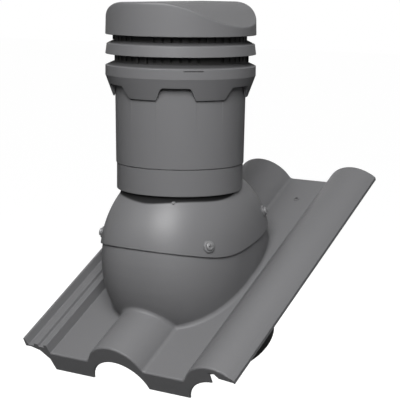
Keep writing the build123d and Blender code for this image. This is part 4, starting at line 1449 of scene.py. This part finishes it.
def way(azimuth, elevation):
    """A direction from its angle from +X and its angle over the horizon, in degrees."""
    a, e = math.radians(azimuth), math.radians(elevation)
    return Vector((math.cos(a) * math.cos(e), math.sin(a) * math.cos(e), math.sin(e)))


def add_camera(stage):
    """The camera: forward from heading and tilt, right and up turned by the roll."""
    a, t, r = stage.heading, stage.tilt, stage.roll
    forward = Vector((math.sin(a) * math.cos(t), math.cos(a) * math.cos(t), -math.sin(t)))
    level = Vector((math.cos(a), -math.sin(a), 0.0))
    upright = level.cross(forward)
    right = level * math.cos(r) + upright * math.sin(r)
    up = upright * math.cos(r) - level * math.sin(r)
    data = bpy.data.cameras.new("camera")
    data.lens = stage.lens
    data.sensor_width = 36.0
    data.clip_end = 100.0
    camera = bpy.data.objects.new("camera", data)
    place = (stage.camera_x, stage.camera_y, stage.camera_z)
    columns = [(*right, 0.0), (*up, 0.0), (*(-forward), 0.0), (*place, 1.0)]
    camera.matrix_world = Matrix(columns).transposed()
    bpy.context.scene.collection.objects.link(camera)
    bpy.context.scene.camera = camera


class VENT_OT_stage(bpy.types.Operator):
    """Sets the camera, the lamps, the sky and the floor"""

    bl_idname = "vent.stage"
    bl_label = "Stage"

    def execute(self, context):
        stage = context.scene.vent_stage
        low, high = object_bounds()
        centre = (low + high) / 2.0
        add_camera(stage)
        for name in LAMPS:
            add_lamp(name, centre, stage)
        set_world(stage.sky, stage.gloss_share)
        material = floor_material(stage.floor_grey, stage.floor_lift)
        add_floor(low.z - stage.floor_drop, stage.floor_size, material)
        context.scene.view_settings.view_transform = "Standard"
        return {"FINISHED"}


class VENT_PT_panel(bpy.types.Panel):
    """Lists the vent's operators and sizes"""

    bl_idname = "VENT_PT_panel"
    bl_label = "Roof tile vent"
    bl_space_type = "VIEW_3D"
    bl_region_type = "UI"
    bl_category = "Vent"

    def draw(self, context):
        for operator in OPERATORS:
            self.layout.operator(operator.bl_idname)
        for name, group in GROUPS.items():
            box = self.layout.box()
            box.label(text=name.replace("vent_", "").capitalize())
            for field in group.__annotations__:
                box.prop(getattr(context.scene, name), field)


GROUPS = {
    "vent_tile": TileSizes,
    "vent_hood": HoodSizes,
    "vent_fixing": FixingSizes,
    "vent_chimney": ChimneySizes,
    "vent_cap": CapSizes,
    "vent_finish": FinishColours,
    "vent_stage": StageSettings,
}
OPERATORS = (
    VENT_OT_tile,
    VENT_OT_hood,
    VENT_OT_fixings,
    VENT_OT_chimney,
    VENT_OT_head,
    VENT_OT_inside,
    VENT_OT_stage,
)


def register():
    """Registers the groups, the operators and the panel."""
    for name, group in GROUPS.items():
        bpy.utils.register_class(group)
        setattr(bpy.types.Scene, name, bpy.props.PointerProperty(type=group))
    for operator in OPERATORS:
        bpy.utils.register_class(operator)
    bpy.utils.register_class(VENT_PT_panel)


def unregister():
    """Takes the panel, the operators and the groups away again."""
    bpy.utils.unregister_class(VENT_PT_panel)
    for operator in reversed(OPERATORS):
        bpy.utils.unregister_class(operator)
    for name, group in reversed(GROUPS.items()):
        delattr(bpy.types.Scene, name)
        bpy.utils.unregister_class(group)


def main():
    """Builds the whole scene."""
    register()
    for operator in OPERATORS:
        area, name = operator.bl_idname.split(".")
        getattr(getattr(bpy.ops, area), name)()


if __name__ == "__main__":
    main()
